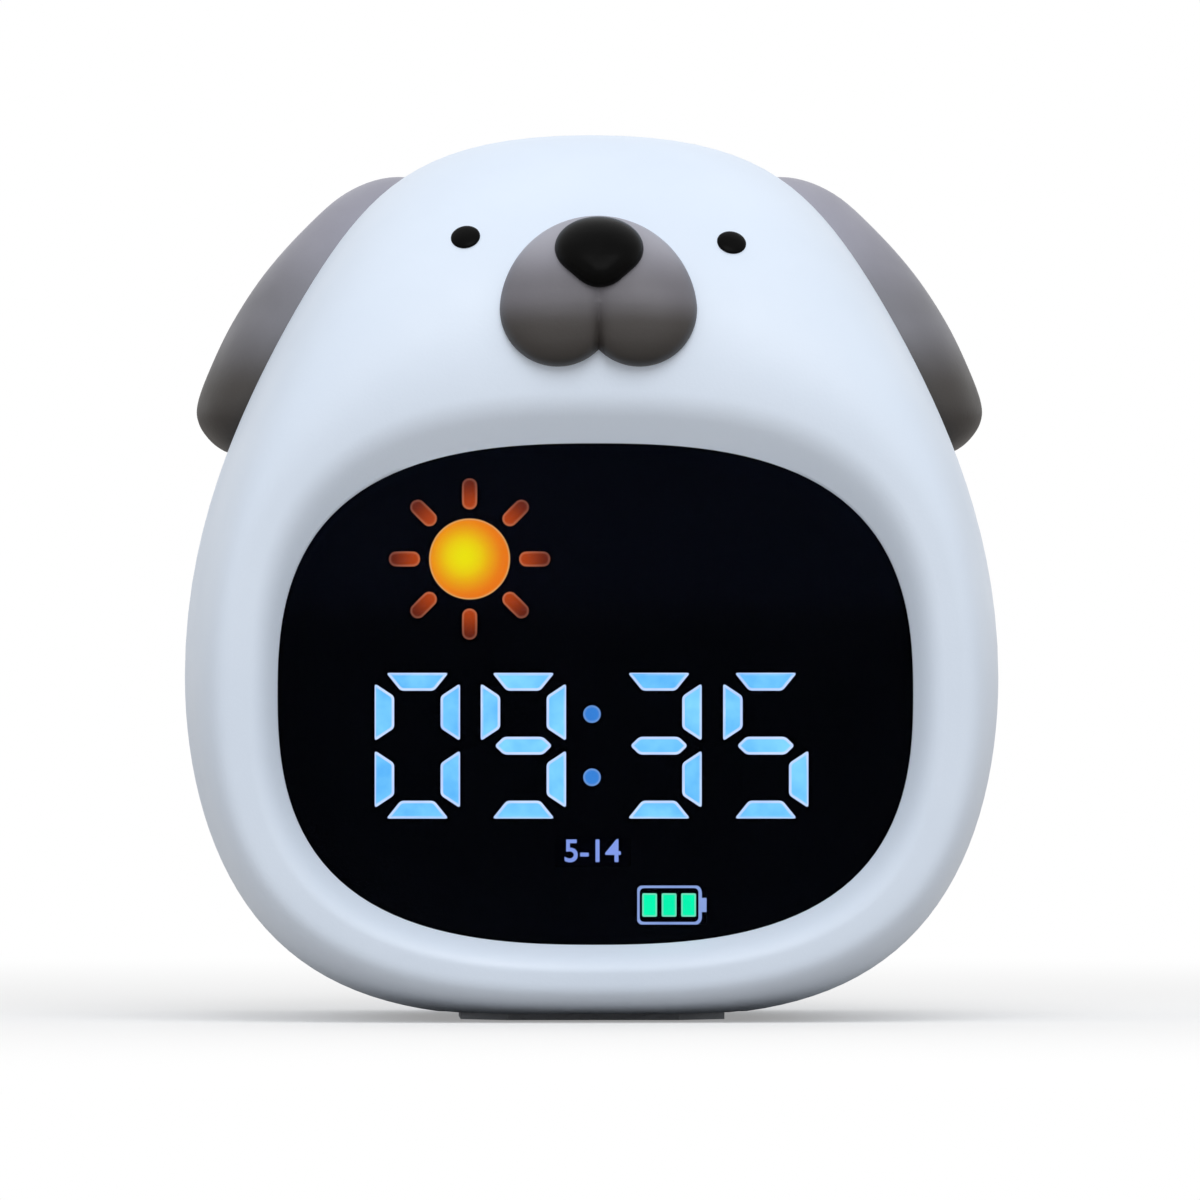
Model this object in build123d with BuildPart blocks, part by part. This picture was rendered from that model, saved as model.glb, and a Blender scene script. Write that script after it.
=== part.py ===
from build123d import *
from math import asin, atan2, ceil, copysign, cos, degrees, radians, sin, sqrt
import os

os.makedirs("parts", exist_ok=True)

# ---------------------------------------------------------------- driving dimensions, mm
# The clock stands on z = 0, faces -Y, and is centred on x = 0 and y = 0.

# Head housing
head_width = 105.0
head_height = 114.0
clock_depth = 86.0  # muzzle front to the backs of the buttons
muzzle_overhang = 3.6  # muzzle front past the display rim
button_proud = 1.0  # button backs past the rear panel
widest_height = 44.0
dome_setback = 37.0  # display rim back to the widest section
seam_depth = 17.0  # parting line forward of the rear panel
wall = 2.2
rim_width = 92.0
rim_top = 81.0
rim_bottom = 5.0
panel_width = 84.0
panel_top = 96.0
panel_bottom = 8.0
facet_turn = 13.0  # most that the skin turns, in degrees, from one lofted section to the next
hollow_turn = 18.0  # the same inside
hollow_flat_count = 5  # flats to a quarter of a section inside
seat_gap = 0.3  # between the skin and the pieces that stand on it
seat_flat_count = 12

# Display window
window_width = 81.7
window_height = 64.5
window_bottom = 9.65
lip_depth = 3.0
lip_side = 3.5
lip_top = 6.5
lip_bottom = 3.0
glass_recess = 4.2
pane_bulge_side = 1.0
pane_bulge_top = 7.0
pane_corner = 26.0
glass_margin = 1.8
glass_pocket = 1.0
glass_thickness = 2.0
glass_clearance = 0.15
tape_thickness = 0.3
tape_width = 1.4
tape_long = 16.0
tape_short = 18.0

# Display module
mask_thickness = 0.4
mask_window_margin = 0.6
mask_corner = 12.0
reflector_thickness = 4.5
reflector_inset = 1.0
segment_depth = 3.0
segment_fit = 0.1
digit_width = 11.1
digit_height = 18.9
digit_middle = 35.1
digit_columns = (-22.7, -8.9, 8.6, 22.4)
bar_stroke = 2.4
bar_long = 8.1
bar_short = 4.3
middle_bar_long = 7.5
middle_bar_short = 5.0
post_stroke = 2.65
post_drop = 1.4  # post's outer edge down from the numeral's top
post_rise = 0.55  # and up from its middle
post_taper = 1.7
colon_x = 0.0
colon_spread = 8.1
colon_radius = 1.2
sun_x = -15.5
sun_z = 59.0
sun_radius = 5.3
ray_width = 2.0
ray_inner = 6.4
ray_outer = 10.6
ray_count = 8
date_x = 0.0
date_z = 21.6
date_width = 10.0
date_height = 4.0
battery_icon_x = 10.3
battery_icon_z = 14.6
battery_icon_width = 9.1
battery_icon_height = 5.2
battery_icon_line = 0.5
battery_bar_width = 1.9
battery_bar_height = 3.0
battery_bar_pitch = 2.5
battery_icon_relief = 0.8
display_board_inset = 6.1  # in from the head's widest
display_board_bottom = 11.0
display_board_top = 66.0
display_board_chamfer = 15.5
display_board_corner = 5.0
board_thickness = 1.6
display_post_inset = 7.3
display_post_low = 30.0
display_post_high = 57.0
post_size = 3.6  # square posts that carry the boards
led_size = 1.4
led_height = 0.8
driver_size = 9.0
driver_height = 1.2
driver_z = 44.0

# Face
muzzle_proud = 4.2
muzzle_radius = 12.7
muzzle_rise = 0.297  # heights on the face, as shares of the way from the display rim to the crown
lobe_radius = 7.4
lobe_spread = 5.25
nose_proud = 6.4
nose_width = 11.4
nose_bridge = 4.1  # half height of the nose's oval
nose_lift = 8.4  # above the middle of the muzzle, which carries it
nose_tip_radius = 4.2
nose_tip_drop = 0.9
eye_long = 3.8
eye_short = 2.85
eye_tilt = 12.0  # degrees, outer corners down
eye_x = 17.2
eye_rise = 0.591
eye_proud = 0.7
pin_size = 2.2  # the face's pins are square
pin_fit = 0.1
muzzle_pin_reach = 9.0  # rim back to the ends of the pins
nose_pin_reach = 13.0
eye_pin_reach = 19.0

# Ears
ear_y = 10.0
ear_top_radius = 8.0
ear_top_drop = 13.5  # down from the crown
ear_tip_radius = 12.5
ear_tip_drop = 28.0
ear_peg_width = 5.0
ear_peg_thickness = 2.4
ear_peg_drops = (28.0, 17.0)
ear_peg_inset = 23.5
ear_root = (27.9, 5.5)  # silhouette points, in from the head's half width and down from its top
ear_shoulder = (19.3, 8.3)
ear_middle = (11.6, 16.1)
ear_flank = (4.8, 26.4)
ear_heel = (1.5, 35.5)
ear_toe = (2.1, 38.8)
ear_tip = (4.8, 41.0)
ear_depth_inside = 16.0

# Base
base_lift = 1.0
base_pad_length = 32.0
base_pad_width = 34.0
base_pad_corner = 6.0
base_pad_y = -4.0

# Case screws
case_screw_low = (33.0, 25.0)
case_screw_high = (22.0, 84.0)
boss_size = 7.2
boss_length = 11.0
web_thickness = 1.6
well_radius = 3.0
well_wall = 1.4
well_floor = 2.4
screw_radius = 1.25
screw_fit = 0.05
screw_bite = 8.0
screw_head_radius = 2.3
screw_head_height = 1.6

# Rear panel
button_radius = 4.0
button_fit = 0.15
button_count = 4
button_pitch = 16.0
button_z = 56.0
button_flange = 9.6
button_flange_thickness = 1.0
button_flange_gap = 0.1
button_travel = 0.5
switch_size = 6.2
switch_height = 3.6
plunger_size = 2.4
plunger_fit = 0.1
plunger_engagement = 1.2  # length of plunger inside its switch at rest
switch_bore_depth = 2.0
slider_z = 70.0
slider_length = 4.6
slider_height = 3.0
slider_travel = 3.0
slider_fit = 0.3
slider_stem = 1.6
slider_flange_height = 5.2
slider_flange_thickness = 0.8
slider_stem_engagement = 1.0
slide_channel_depth = 1.6
slide_switch_length = 8.6
slide_switch_width = 4.4
grille_z = 36.0
grille_radius = 11.5
grille_slot = 2.0
grille_pitch = 4.6
grille_rows = 5
usb_z = 19.0
usb_width = 9.0
usb_height = 3.3
usb_shell = 0.35
usb_fit = 0.2
usb_setback = 0.6
usb_depth = 7.6
usb_tongue_width = 6.7
usb_tongue_thickness = 0.7
usb_tongue_short = 1.2

# Main board behind the rear panel
main_board_gap = 7.3
main_board_width = 56.0
main_board_bottom = 14.0
main_board_top = 76.0
main_post_x = 25.5
main_post_z = (19.0, 68.0)
chip_height = 1.0
controller_size = 9.0
controller_place = (-12.0, 60.0)
sound_chip_size = 5.0
sound_chip_place = (12.0, 46.0)

# Speaker
speaker_size = 26.0
speaker_corner = 4.0
speaker_height = 2.4
speaker_recess = 1.4
speaker_ear_x = 16.0
speaker_ear_width = 5.0
speaker_ear_thickness = 0.8
speaker_magnet_size = 13.0
speaker_magnet_height = 2.2
cone_radius = 11.6
cone_fit = 0.4
cone_thickness = 0.6
speaker_lead_x = 10.5
speaker_lead_pitch = 2.5
speaker_lead_size = 0.9

# Battery
battery_length = 34.0
battery_width = 30.0
battery_height = 9.0
battery_y = -4.0
battery_tape = 0.5
battery_tape_margin = 2.0
lead_x = 11.0
lead_y = 22.0
lead_low_z = 8.0
lead_high_z = 18.0
lead_thickness = 1.2
lead_width = 2.6
socket_width = 6.0
socket_height = 4.0
socket_depth = 3.0

# Night light
light_board_width = 44.0
light_board_depth = 20.0
light_board_drop = 22.0  # down from the crown
light_board_y = -4.0
light_post_x = 18.8
light_led_pitch = 7.0
light_led_size = 2.8
light_led_height = 1.0
light_led_count = 4
diffuser_length = 30.0
diffuser_width = 14.0
diffuser_height = 6.0
diffuser_corner = 3.0
diffuser_wall = 1.2

# Flat cable between the boards
ribbon_z = 26.0
ribbon_sag = 5.0
ribbon_bend = 14.0
ribbon_width = 12.0
ribbon_thickness = 0.3
connector_length = 14.0
connector_height = 3.0
connector_depth = 1.5

# ---------------------------------------------------------------- places worked out from them
front_y = -clock_depth / 2 + muzzle_overhang
back_y = clock_depth / 2 - button_proud
dome_y = front_y + dome_setback
seam_y = back_y - seam_depth
inner_back_y = back_y - wall
floor_z = base_lift + wall
window_top = window_bottom + window_height
window_middle = window_bottom + window_height / 2
glass_seat_y = front_y + glass_recess
cavity_front_y = glass_seat_y + glass_pocket
glass_front_y = glass_seat_y + tape_thickness
mask_front_y = glass_front_y + glass_thickness
reflector_front_y = mask_front_y + mask_thickness
display_board_y = reflector_front_y + reflector_thickness
display_board_back_y = display_board_y + board_thickness
main_board_y = inner_back_y - main_board_gap
main_board_front_y = main_board_y - board_thickness
switch_top_y = main_board_y + switch_height
flange_y = inner_back_y - button_flange_gap
button_flange_y = flange_y - button_flange_thickness
slider_flange_y = flange_y - slider_flange_thickness
speaker_front_y = inner_back_y - speaker_height
usb_mouth_y = back_y - usb_setback
battery_z = floor_z + battery_tape
battery_end_y = battery_y + battery_width / 2
light_board_z = head_height - light_board_drop
light_board_top = light_board_z + board_thickness
display_board_width = head_width - 2 * display_board_inset
display_post_x = head_width / 2 - display_post_inset
brow = head_height - rim_top
muzzle_z = rim_top + muzzle_rise * brow
lobe_z = muzzle_z + sqrt((muzzle_radius - lobe_radius) ** 2 - lobe_spread**2)
nose_z = muzzle_z + nose_lift
eye_z = rim_top + eye_rise * brow
ear_top_z = head_height - ear_top_drop
ear_tip_z = head_height - ear_tip_drop
sides = (1, -1)
case_screw_points = [(side * x, z) for side in sides for x, z in (case_screw_low, case_screw_high)]
display_post_points = [(side * display_post_x, z) for side in sides for z in (display_post_low, display_post_high)]
main_post_points = [(side * main_post_x, z) for side in sides for z in main_post_z]
muzzle_pins = [(side * lobe_spread, lobe_z) for side in sides]
eye_pins = [(side * eye_x, eye_z) for side in sides]
nose_pin = (0, nose_z)
ear_pegs = [(ear_y, head_height - drop) for drop in ear_peg_drops]
digit_places = [(x, digit_middle) for x in digit_columns]
colon_places = [(colon_x, digit_middle + side * colon_spread / 2) for side in sides]
light_post_points = [(side * light_post_x, light_board_y) for side in sides]
button_points = [(button_pitch * (place - (button_count - 1) / 2), button_z) for place in range(button_count)]
slider_slot_length = slider_length + slider_travel + 2 * slider_fit
slider_flange_length = slider_slot_length + slider_travel + 2 * slider_fit
button_names = ("button_mode", "button_minus", "button_plus", "button_light")

# Quarter outlines as curve points, from the top (0, 1) round to the side (1, 0)
crown = [(0, 1), (0.714, 1), (0.514, 0.746), (1, 0.556), (1, 0)]
jaw = [(0, 1), (0.456, 1), (0.852, 1.011), (1, 0.445), (1, 0)]
pane = [(0, 1), (0.384, 1), (0.977, 0.977), (1, 0.384), (1, 0)]


# ---------------------------------------------------------------- shared shapes
def facing(y):
    """The plane across the clock at depth y, with x to the right and z up. Rearward is a negative extrusion."""
    return Plane.XZ.offset(-y)


def quarter(shape, blend, half_width, waist, height):
    """One quarter of a section: blend 0 is the window's shape, blend 1 is the head's."""
    return [
        (half_width * (s[0] * blend + p[0] * (1 - blend)), waist + height * (s[1] * blend + p[1] * (1 - blend)))
        for s, p in zip(shape, pane)
    ]


def ring(y, half_width, top, bottom, blend, flats=0):
    """A closed section across the head: four curves, so that each quarter is its own face, or flats along them."""
    waist = window_middle + (widest_height - window_middle) * blend
    upper = [Vector(x, y, z) for x, z in quarter(crown, blend, half_width, waist, top - waist)]
    lower = [Vector(x, y, z) for x, z in quarter(jaw, blend, half_width, waist, bottom - waist)]
    left_up = [Vector(-p.X, p.Y, p.Z) for p in upper]
    left_down = [Vector(-p.X, p.Y, p.Z) for p in lower]
    quarters = [upper, lower[::-1], left_down, left_up[::-1]]
    curves = [Edge.make_bezier(*points) for points in quarters]
    if flats:
        corners = [curve.position_at(step / flats) for curve in curves for step in range(flats)]
        return Face(Wire.make_polygon(corners, close=True))
    return Face(Wire(curves))


def section(turn, inset, flats=0):
    """The head's section where its side profile has turned this far: -90 at the rim, 0 at the widest, 90 at the back."""
    swell = cos(radians(turn)) if abs(turn) < 90 else 0
    if turn < 0:
        reach, half, top, bottom, blend, fullness = dome_y - front_y, rim_width / 2, rim_top, rim_bottom, swell, 0.5
    else:
        reach, half, top, bottom, blend, fullness = back_y - dome_y, panel_width / 2, panel_top, panel_bottom, 1, 1
    return ring(
        dome_y + (reach - inset) * sin(radians(turn)),
        half + (head_width / 2 - inset - half) * swell**fullness,
        top + (head_height - inset - top) * swell,
        bottom + (inset - bottom) * swell**fullness,
        blend,
        flats,
    )


def turn_at(y, inset):
    reach = (dome_y - front_y if y < dome_y else back_y - dome_y) - inset
    return degrees(asin(max(-1, min(1, (y - dome_y) / reach))))


def even_turns(first, last, largest):
    count = ceil(abs(last - first) / largest)
    return [first + (last - first) * step / count for step in range(count + 1)]


def head_form(first_y, last_y, inset, largest_turn=facet_turn, flats=0):
    """The head's solid form between two depths, inset from the skin, or proud of it where inset is negative."""
    first, last = turn_at(first_y, inset), turn_at(last_y, inset)
    if first < 0 < last:
        turns = even_turns(first, 0, largest_turn) + even_turns(0, last, largest_turn)[1:]
    else:
        turns = even_turns(first, last, largest_turn)
    with BuildPart() as form:
        loft([section(turn, inset, flats) for turn in turns], ruled=True)
    return form.part


def hollow_form(first_y, last_y):
    """The space inside the wall, with a flat floor over the base."""
    with BuildPart() as hollow:
        add(head_form(first_y, last_y, wall, hollow_turn, hollow_flat_count))
        split(bisect_by=Plane.XY.offset(floor_z), keep=Keep.TOP)
    return hollow.part


def lip_rings():
    """Sections of the opening through the display rim: a quarter-round lip, then straight back to the glass."""
    rings = []
    for turn in (0, 30, 60, 90):
        spread = 1 - sin(radians(turn))
        rings.append(
            ring(
                front_y + lip_depth * (1 - cos(radians(turn))),
                window_width / 2 + lip_side * spread,
                window_top + lip_top * spread,
                window_bottom - lip_bottom * spread,
                0,
            )
        )
    rings.append(ring(glass_seat_y, window_width / 2, window_top, window_bottom, 0))
    return rings


def pane_outline(margin):
    """The window's outline as tangent arcs, larger by the margin."""
    half_width = window_width / 2 + margin
    half_height = window_height / 2 + margin
    corner_x = half_width - pane_bulge_side
    corner_z = half_height - pane_bulge_top
    with BuildSketch() as outline:
        with BuildLine():
            ThreePointArc((-corner_x, corner_z), (0, half_height), (corner_x, corner_z))
            ThreePointArc((corner_x, corner_z), (half_width, 0), (corner_x, -corner_z))
            ThreePointArc((corner_x, -corner_z), (0, -half_height), (-corner_x, -corner_z))
            ThreePointArc((-corner_x, -corner_z), (-half_width, 0), (-corner_x, corner_z))
        make_face()
        fillet(outline.vertices(), pane_corner + margin)
    return outline.sketch.moved(Location((0, window_middle, 0)))


def digit_outlines(grow):
    """The seven bars of one numeral about its middle, with tapered ends, each larger all round by grow."""
    half_width = digit_width / 2
    half_height = digit_height / 2
    inner_width = half_width - post_stroke
    top_bar = [
        (-bar_long / 2, half_height),
        (bar_long / 2, half_height),
        (bar_short / 2, half_height - bar_stroke),
        (-bar_short / 2, half_height - bar_stroke),
    ]
    post = [
        (half_width, half_height - post_drop),
        (half_width, post_rise),
        (inner_width, post_rise + post_taper),
        (inner_width, half_height - post_drop - post_taper),
    ]
    middle_bar = [
        (middle_bar_long / 2, 0),
        (middle_bar_short / 2, bar_stroke / 2),
        (-middle_bar_short / 2, bar_stroke / 2),
        (-middle_bar_long / 2, 0),
        (-middle_bar_short / 2, -bar_stroke / 2),
        (middle_bar_short / 2, -bar_stroke / 2),
    ]
    with BuildSketch() as bars:
        for side in sides:
            with BuildLine():
                Polyline(*[(x, side * z) for x, z in top_bar], close=True)
            make_face()
            for other in sides:
                with BuildLine():
                    Polyline(*[(other * x, side * z) for x, z in post], close=True)
                make_face()
        with BuildLine():
            Polyline(*middle_bar, close=True)
        make_face()
        if grow:
            offset(amount=grow, kind=Kind.INTERSECTION)
    return bars.sketch


def sun_outline(grow):
    """A disc with bars round it."""
    with BuildSketch() as sun:
        Circle(sun_radius + grow)
        with PolarLocations((ray_inner + ray_outer) / 2, ray_count):
            Rectangle(ray_outer - ray_inner + 2 * grow, ray_width + 2 * grow)
    return sun.sketch


def battery_sign():
    """A small battery sign: a case line with three bars inside it."""
    with BuildSketch() as sign:
        Rectangle(battery_icon_width, battery_icon_height)
        line = 2 * battery_icon_line
        Rectangle(battery_icon_width - line, battery_icon_height - line, mode=Mode.SUBTRACT)
        with GridLocations(battery_bar_pitch, 0, 3, 1):
            Rectangle(battery_bar_width, battery_bar_height)
    return sign.sketch


def export(piece, name):
    piece.part.label = name
    export_step(piece.part, f"parts/{name}.step")


# ---------------------------------------------------------------- outlines that several pieces share
glass_outline = pane_outline(glass_margin)

# a round muzzle that ends below in two lobes, with the notch between them
lobe_lean = atan2(lobe_z - muzzle_z, lobe_spread)
cheek = (muzzle_radius * cos(lobe_lean), muzzle_z + muzzle_radius * sin(lobe_lean))
notch = (0, lobe_z - sqrt(lobe_radius**2 - lobe_spread**2))
with BuildSketch(facing(dome_y)) as muzzle_shape:
    with BuildLine():
        ThreePointArc(cheek, (0, muzzle_z + muzzle_radius), (-cheek[0], cheek[1]))
        ThreePointArc((-cheek[0], cheek[1]), (-lobe_spread, lobe_z - lobe_radius), notch)
        ThreePointArc(notch, (lobe_spread, lobe_z - lobe_radius), cheek)
    make_face()

with BuildSketch(facing(dome_y)) as nose_shape:
    with Locations(nose_pin):
        Ellipse(nose_width / 2, nose_bridge)
        with Locations((0, -nose_tip_drop)):
            Circle(nose_tip_radius)
    make_hull()


# ---------------------------------------------------------------- front shell
with BuildPart() as front_bosses:
    # for the case screws, each webbed to the side wall
    with BuildSketch(facing(seam_y)):
        with Locations(*case_screw_points):
            Rectangle(boss_size, boss_size)
        for x, z in case_screw_points:
            with Locations((x + copysign(head_width / 4, x), z)):
                Rectangle(head_width / 2, web_thickness)
    extrude(amount=boss_length)
    # for the display board
    with BuildSketch(facing(display_board_y)):
        with Locations(*display_post_points):
            Rectangle(post_size, post_size)
    extrude(amount=display_board_y - glass_seat_y)
    # for the light board, down from the crown
    with BuildSketch(Plane.XY.offset(light_board_top)):
        with Locations(*light_post_points):
            Rectangle(post_size, post_size)
    extrude(amount=head_height - light_board_top)
    add(head_form(front_y + wall / 2, seam_y, wall / 2, hollow_turn, hollow_flat_count), mode=Mode.INTERSECT)

with BuildPart() as front_shell:
    add(head_form(front_y, seam_y, 0))
    add(hollow_form(cavity_front_y, seam_y), mode=Mode.SUBTRACT)
    add(front_bosses.part)
    # flat for the base pad
    with BuildSketch(Plane.XY.offset(base_lift)):
        Rectangle(head_width, clock_depth)
    extrude(amount=-2 * base_lift, mode=Mode.SUBTRACT)
    # rolled lip round the window, and the pocket that locates the glass
    loft(lip_rings(), ruled=True, mode=Mode.SUBTRACT)
    with BuildSketch(facing(glass_seat_y)):
        add(pane_outline(glass_margin + glass_clearance))
    extrude(amount=-glass_pocket, mode=Mode.SUBTRACT)
    # pilot holes of the case screws
    with BuildSketch(facing(seam_y)):
        with Locations(*case_screw_points):
            Circle(screw_radius + screw_fit)
    extrude(amount=screw_bite + screw_fit, mode=Mode.SUBTRACT)
    # holes for the pins of the face and the pegs of the ears
    for points, reach in (
        (muzzle_pins, muzzle_pin_reach),
        ([nose_pin], nose_pin_reach),
        (eye_pins, eye_pin_reach),
    ):
        with BuildSketch(facing(front_y + reach)):
            with Locations(*points):
                Rectangle(pin_size + 2 * pin_fit, pin_size + 2 * pin_fit)
        extrude(amount=reach, mode=Mode.SUBTRACT)
    with BuildSketch(Plane.YZ):
        with Locations(*ear_pegs):
            Rectangle(ear_peg_width + 2 * pin_fit, ear_peg_thickness + 2 * pin_fit)
    extrude(amount=head_width / 2, both=True, mode=Mode.SUBTRACT)
export(front_shell, "front_shell")

# ---------------------------------------------------------------- rear shell
with BuildPart() as rear_posts:
    # towers round the wells of the case screws
    with BuildSketch(facing(seam_y)):
        with Locations(*case_screw_points):
            Rectangle(2 * (well_radius + well_wall), 2 * (well_radius + well_wall))
    extrude(amount=seam_y - back_y)
    # posts for the main board
    with BuildSketch(facing(main_board_y)):
        with Locations(*main_post_points):
            Rectangle(post_size, post_size)
    extrude(amount=main_board_y - back_y)
    add(head_form(seam_y, back_y - wall / 2, wall / 2, hollow_turn, hollow_flat_count), mode=Mode.INTERSECT)

with BuildPart() as rear_shell:
    add(head_form(seam_y, back_y, 0))
    add(hollow_form(seam_y, inner_back_y), mode=Mode.SUBTRACT)
    add(rear_posts.part)
    # wells and clearance holes of the case screws
    with BuildSketch(facing(seam_y + well_floor)):
        with Locations(*case_screw_points):
            Circle(well_radius)
    extrude(amount=seam_y + well_floor - back_y, mode=Mode.SUBTRACT)
    with BuildSketch(facing(seam_y)):
        with Locations(*case_screw_points):
            Circle(screw_radius + screw_fit)
    extrude(amount=-well_floor, mode=Mode.SUBTRACT)
    # openings through the panel: buttons, alarm switch, speaker slots and charging socket
    with BuildSketch(facing(back_y)):
        with Locations(*button_points):
            Circle(button_radius + button_fit)
        with Locations((0, slider_z)):
            Rectangle(slider_slot_length, slider_height + 2 * slider_fit)
        for row in range(grille_rows):
            rise = grille_pitch * (row - (grille_rows - 1) / 2)
            with Locations((0, grille_z + rise)):
                Rectangle(2 * sqrt(grille_radius**2 - rise**2), grille_slot)
        with Locations((0, usb_z)):
            SlotOverall(usb_width + 2 * usb_fit, usb_height + 2 * usb_fit)
    extrude(amount=wall, mode=Mode.SUBTRACT)
export(rear_shell, "rear_shell")

with BuildPart() as case_screws:
    with BuildSketch(facing(seam_y + well_floor)):
        with Locations(*case_screw_points):
            Circle(screw_head_radius)
    extrude(amount=-screw_head_height)
    with BuildSketch(facing(seam_y + well_floor)):
        with Locations(*case_screw_points):
            Circle(screw_radius)
    extrude(amount=well_floor + screw_bite)
export(case_screws, "case_screws")

with BuildPart() as base_pad:
    with BuildSketch() as pad_outline:
        with Locations((0, base_pad_y)):
            Rectangle(base_pad_width, base_pad_length)
        chamfer(pad_outline.vertices(), base_pad_corner)
    extrude(amount=base_lift)
export(base_pad, "base_pad")


# ---------------------------------------------------------------- face
def face_piece(shape, proud, pins, reach, under=None):
    """A piece that stands proud of the skin, with square pins that run on into the head."""
    with BuildPart() as seat:
        add(head_form(front_y, dome_y, -seat_gap, facet_turn, seat_flat_count))
        if under:
            add(under)
        with BuildSketch(facing(front_y + reach)):
            with Locations(*pins):
                Rectangle(pin_size, pin_size)
        extrude(amount=clock_depth, mode=Mode.SUBTRACT)
    with BuildPart() as piece:
        extrude(shape, amount=dome_y + clock_depth / 2)
        add(head_form(front_y - proud, dome_y, -proud), mode=Mode.INTERSECT)
        add(seat.part, mode=Mode.SUBTRACT)
    return piece.part


muzzle_body = face_piece(muzzle_shape.sketch, muzzle_proud, muzzle_pins, muzzle_pin_reach)

with BuildPart() as muzzle:
    add(muzzle_body)
    with BuildSketch(facing(dome_y)):
        with Locations(nose_pin):
            Rectangle(pin_size + 2 * pin_fit, pin_size + 2 * pin_fit)
    extrude(amount=clock_depth, mode=Mode.SUBTRACT)
export(muzzle, "muzzle")

with BuildPart() as nose:
    add(face_piece(nose_shape.sketch, nose_proud, [nose_pin], nose_pin_reach, muzzle_body))
export(nose, "nose")

for side, place, name in zip(sides, eye_pins, ("eye_right", "eye_left")):
    with BuildSketch(facing(dome_y)) as eye_shape:
        with Locations(place):
            Ellipse(eye_long / 2, eye_short / 2, rotation=-side * eye_tilt)
    with BuildPart() as eye:
        add(face_piece(eye_shape.sketch, eye_proud, [place], eye_pin_reach))
    export(eye, name)

# ---------------------------------------------------------------- ears
outline = [
    (head_width / 2 - inward, head_height - down)
    for inward, down in (ear_root, ear_shoulder, ear_middle, ear_flank, ear_heel, ear_toe, ear_tip)
]

# the head with the pegs' holes in it, as an ear sees it
with BuildPart() as ear_seat:
    add(head_form(front_y, seam_y, -seat_gap, facet_turn, seat_flat_count))
    with BuildSketch(Plane.YZ.offset(head_width / 2 - ear_peg_inset)):
        with Locations(*ear_pegs):
            Rectangle(ear_peg_width, ear_peg_thickness)
    extrude(amount=head_width, mode=Mode.SUBTRACT)

with BuildPart() as ear_right:
    with BuildSketch(facing(ear_y)):
        with BuildLine():
            ThreePointArc(outline[0], outline[1], outline[2])
            ThreePointArc(outline[2], outline[3], outline[4])
            ThreePointArc(outline[4], outline[5], outline[6])
            Polyline(
                outline[6],
                (outline[6][0] - ear_depth_inside, outline[6][1]),
                (outline[0][0], outline[0][1] - ear_depth_inside),
                outline[0],
            )
        make_face()
    extrude(amount=ear_tip_radius, both=True)
    # rounded front and back, thicker towards the tip
    with BuildSketch(Plane.YZ):
        with Locations((ear_y, ear_top_z)):
            Circle(ear_top_radius)
        with Locations((ear_y, ear_tip_z)):
            Circle(ear_tip_radius)
        make_hull()
    extrude(amount=head_width, mode=Mode.INTERSECT)
    add(ear_seat.part, mode=Mode.SUBTRACT)
export(ear_right, "ear_right")

with BuildPart() as ear_left:
    mirror(ear_right.part, about=Plane.YZ)
export(ear_left, "ear_left")

# ---------------------------------------------------------------- display window
with BuildPart() as lens_tape:
    strip_x = window_width / 2 + glass_margin / 2
    strip_z = window_height / 2 + glass_margin / 2
    with BuildSketch(facing(glass_seat_y)):
        with Locations((0, window_middle)):
            with Locations((0, strip_z), (0, -strip_z)):
                Rectangle(tape_long, tape_width)
            with Locations((strip_x, 0), (-strip_x, 0)):
                Rectangle(tape_width, tape_short)
    extrude(amount=-tape_thickness)
export(lens_tape, "lens_tape")

with BuildPart() as display_lens:
    with BuildSketch(facing(glass_front_y)):
        add(glass_outline)
    extrude(amount=-glass_thickness)
export(display_lens, "display_lens")

with BuildPart() as display_mask:
    margin = 2 * mask_window_margin
    with BuildSketch(facing(mask_front_y)) as mask_outline:
        with Locations((0, window_middle)):
            Rectangle(window_width, window_height)
        chamfer(mask_outline.vertices(), mask_corner)
        with Locations(*digit_places):
            Rectangle(digit_width + margin, digit_height + margin, mode=Mode.SUBTRACT)
        with Locations(*colon_places):
            Rectangle(2 * colon_radius + margin, 2 * colon_radius + margin, mode=Mode.SUBTRACT)
        with Locations((sun_x, sun_z)):
            Rectangle(2 * ray_outer + margin, 2 * ray_outer + margin, mode=Mode.SUBTRACT)
        with Locations((date_x, date_z)):
            Rectangle(date_width + margin, date_height + margin, mode=Mode.SUBTRACT)
        with Locations((battery_icon_x, battery_icon_z)):
            Rectangle(battery_icon_width + margin, battery_icon_height + margin, mode=Mode.SUBTRACT)
    extrude(amount=-mask_thickness)
export(display_mask, "display_mask")

with BuildPart() as display_reflector:
    fit = 2 * segment_fit
    with BuildSketch(facing(reflector_front_y)) as block_outline:
        with Locations((0, window_middle)):
            Rectangle(window_width - 2 * reflector_inset, window_height - 2 * reflector_inset)
        chamfer(block_outline.vertices(), mask_corner)
        with Locations(*digit_places):
            add(digit_outlines(segment_fit), mode=Mode.SUBTRACT)
        with Locations(*colon_places):
            RegularPolygon(colon_radius + segment_fit, 8, mode=Mode.SUBTRACT)
        with Locations((sun_x, sun_z)):
            add(sun_outline(segment_fit), mode=Mode.SUBTRACT)
        with Locations((date_x, date_z)):
            Rectangle(date_width + fit, date_height + fit, mode=Mode.SUBTRACT)
        with Locations((battery_icon_x, battery_icon_z)):
            Rectangle(battery_icon_width + fit, battery_icon_height + fit, mode=Mode.SUBTRACT)
    extrude(amount=-reflector_thickness)
export(display_reflector, "display_reflector")

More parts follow.
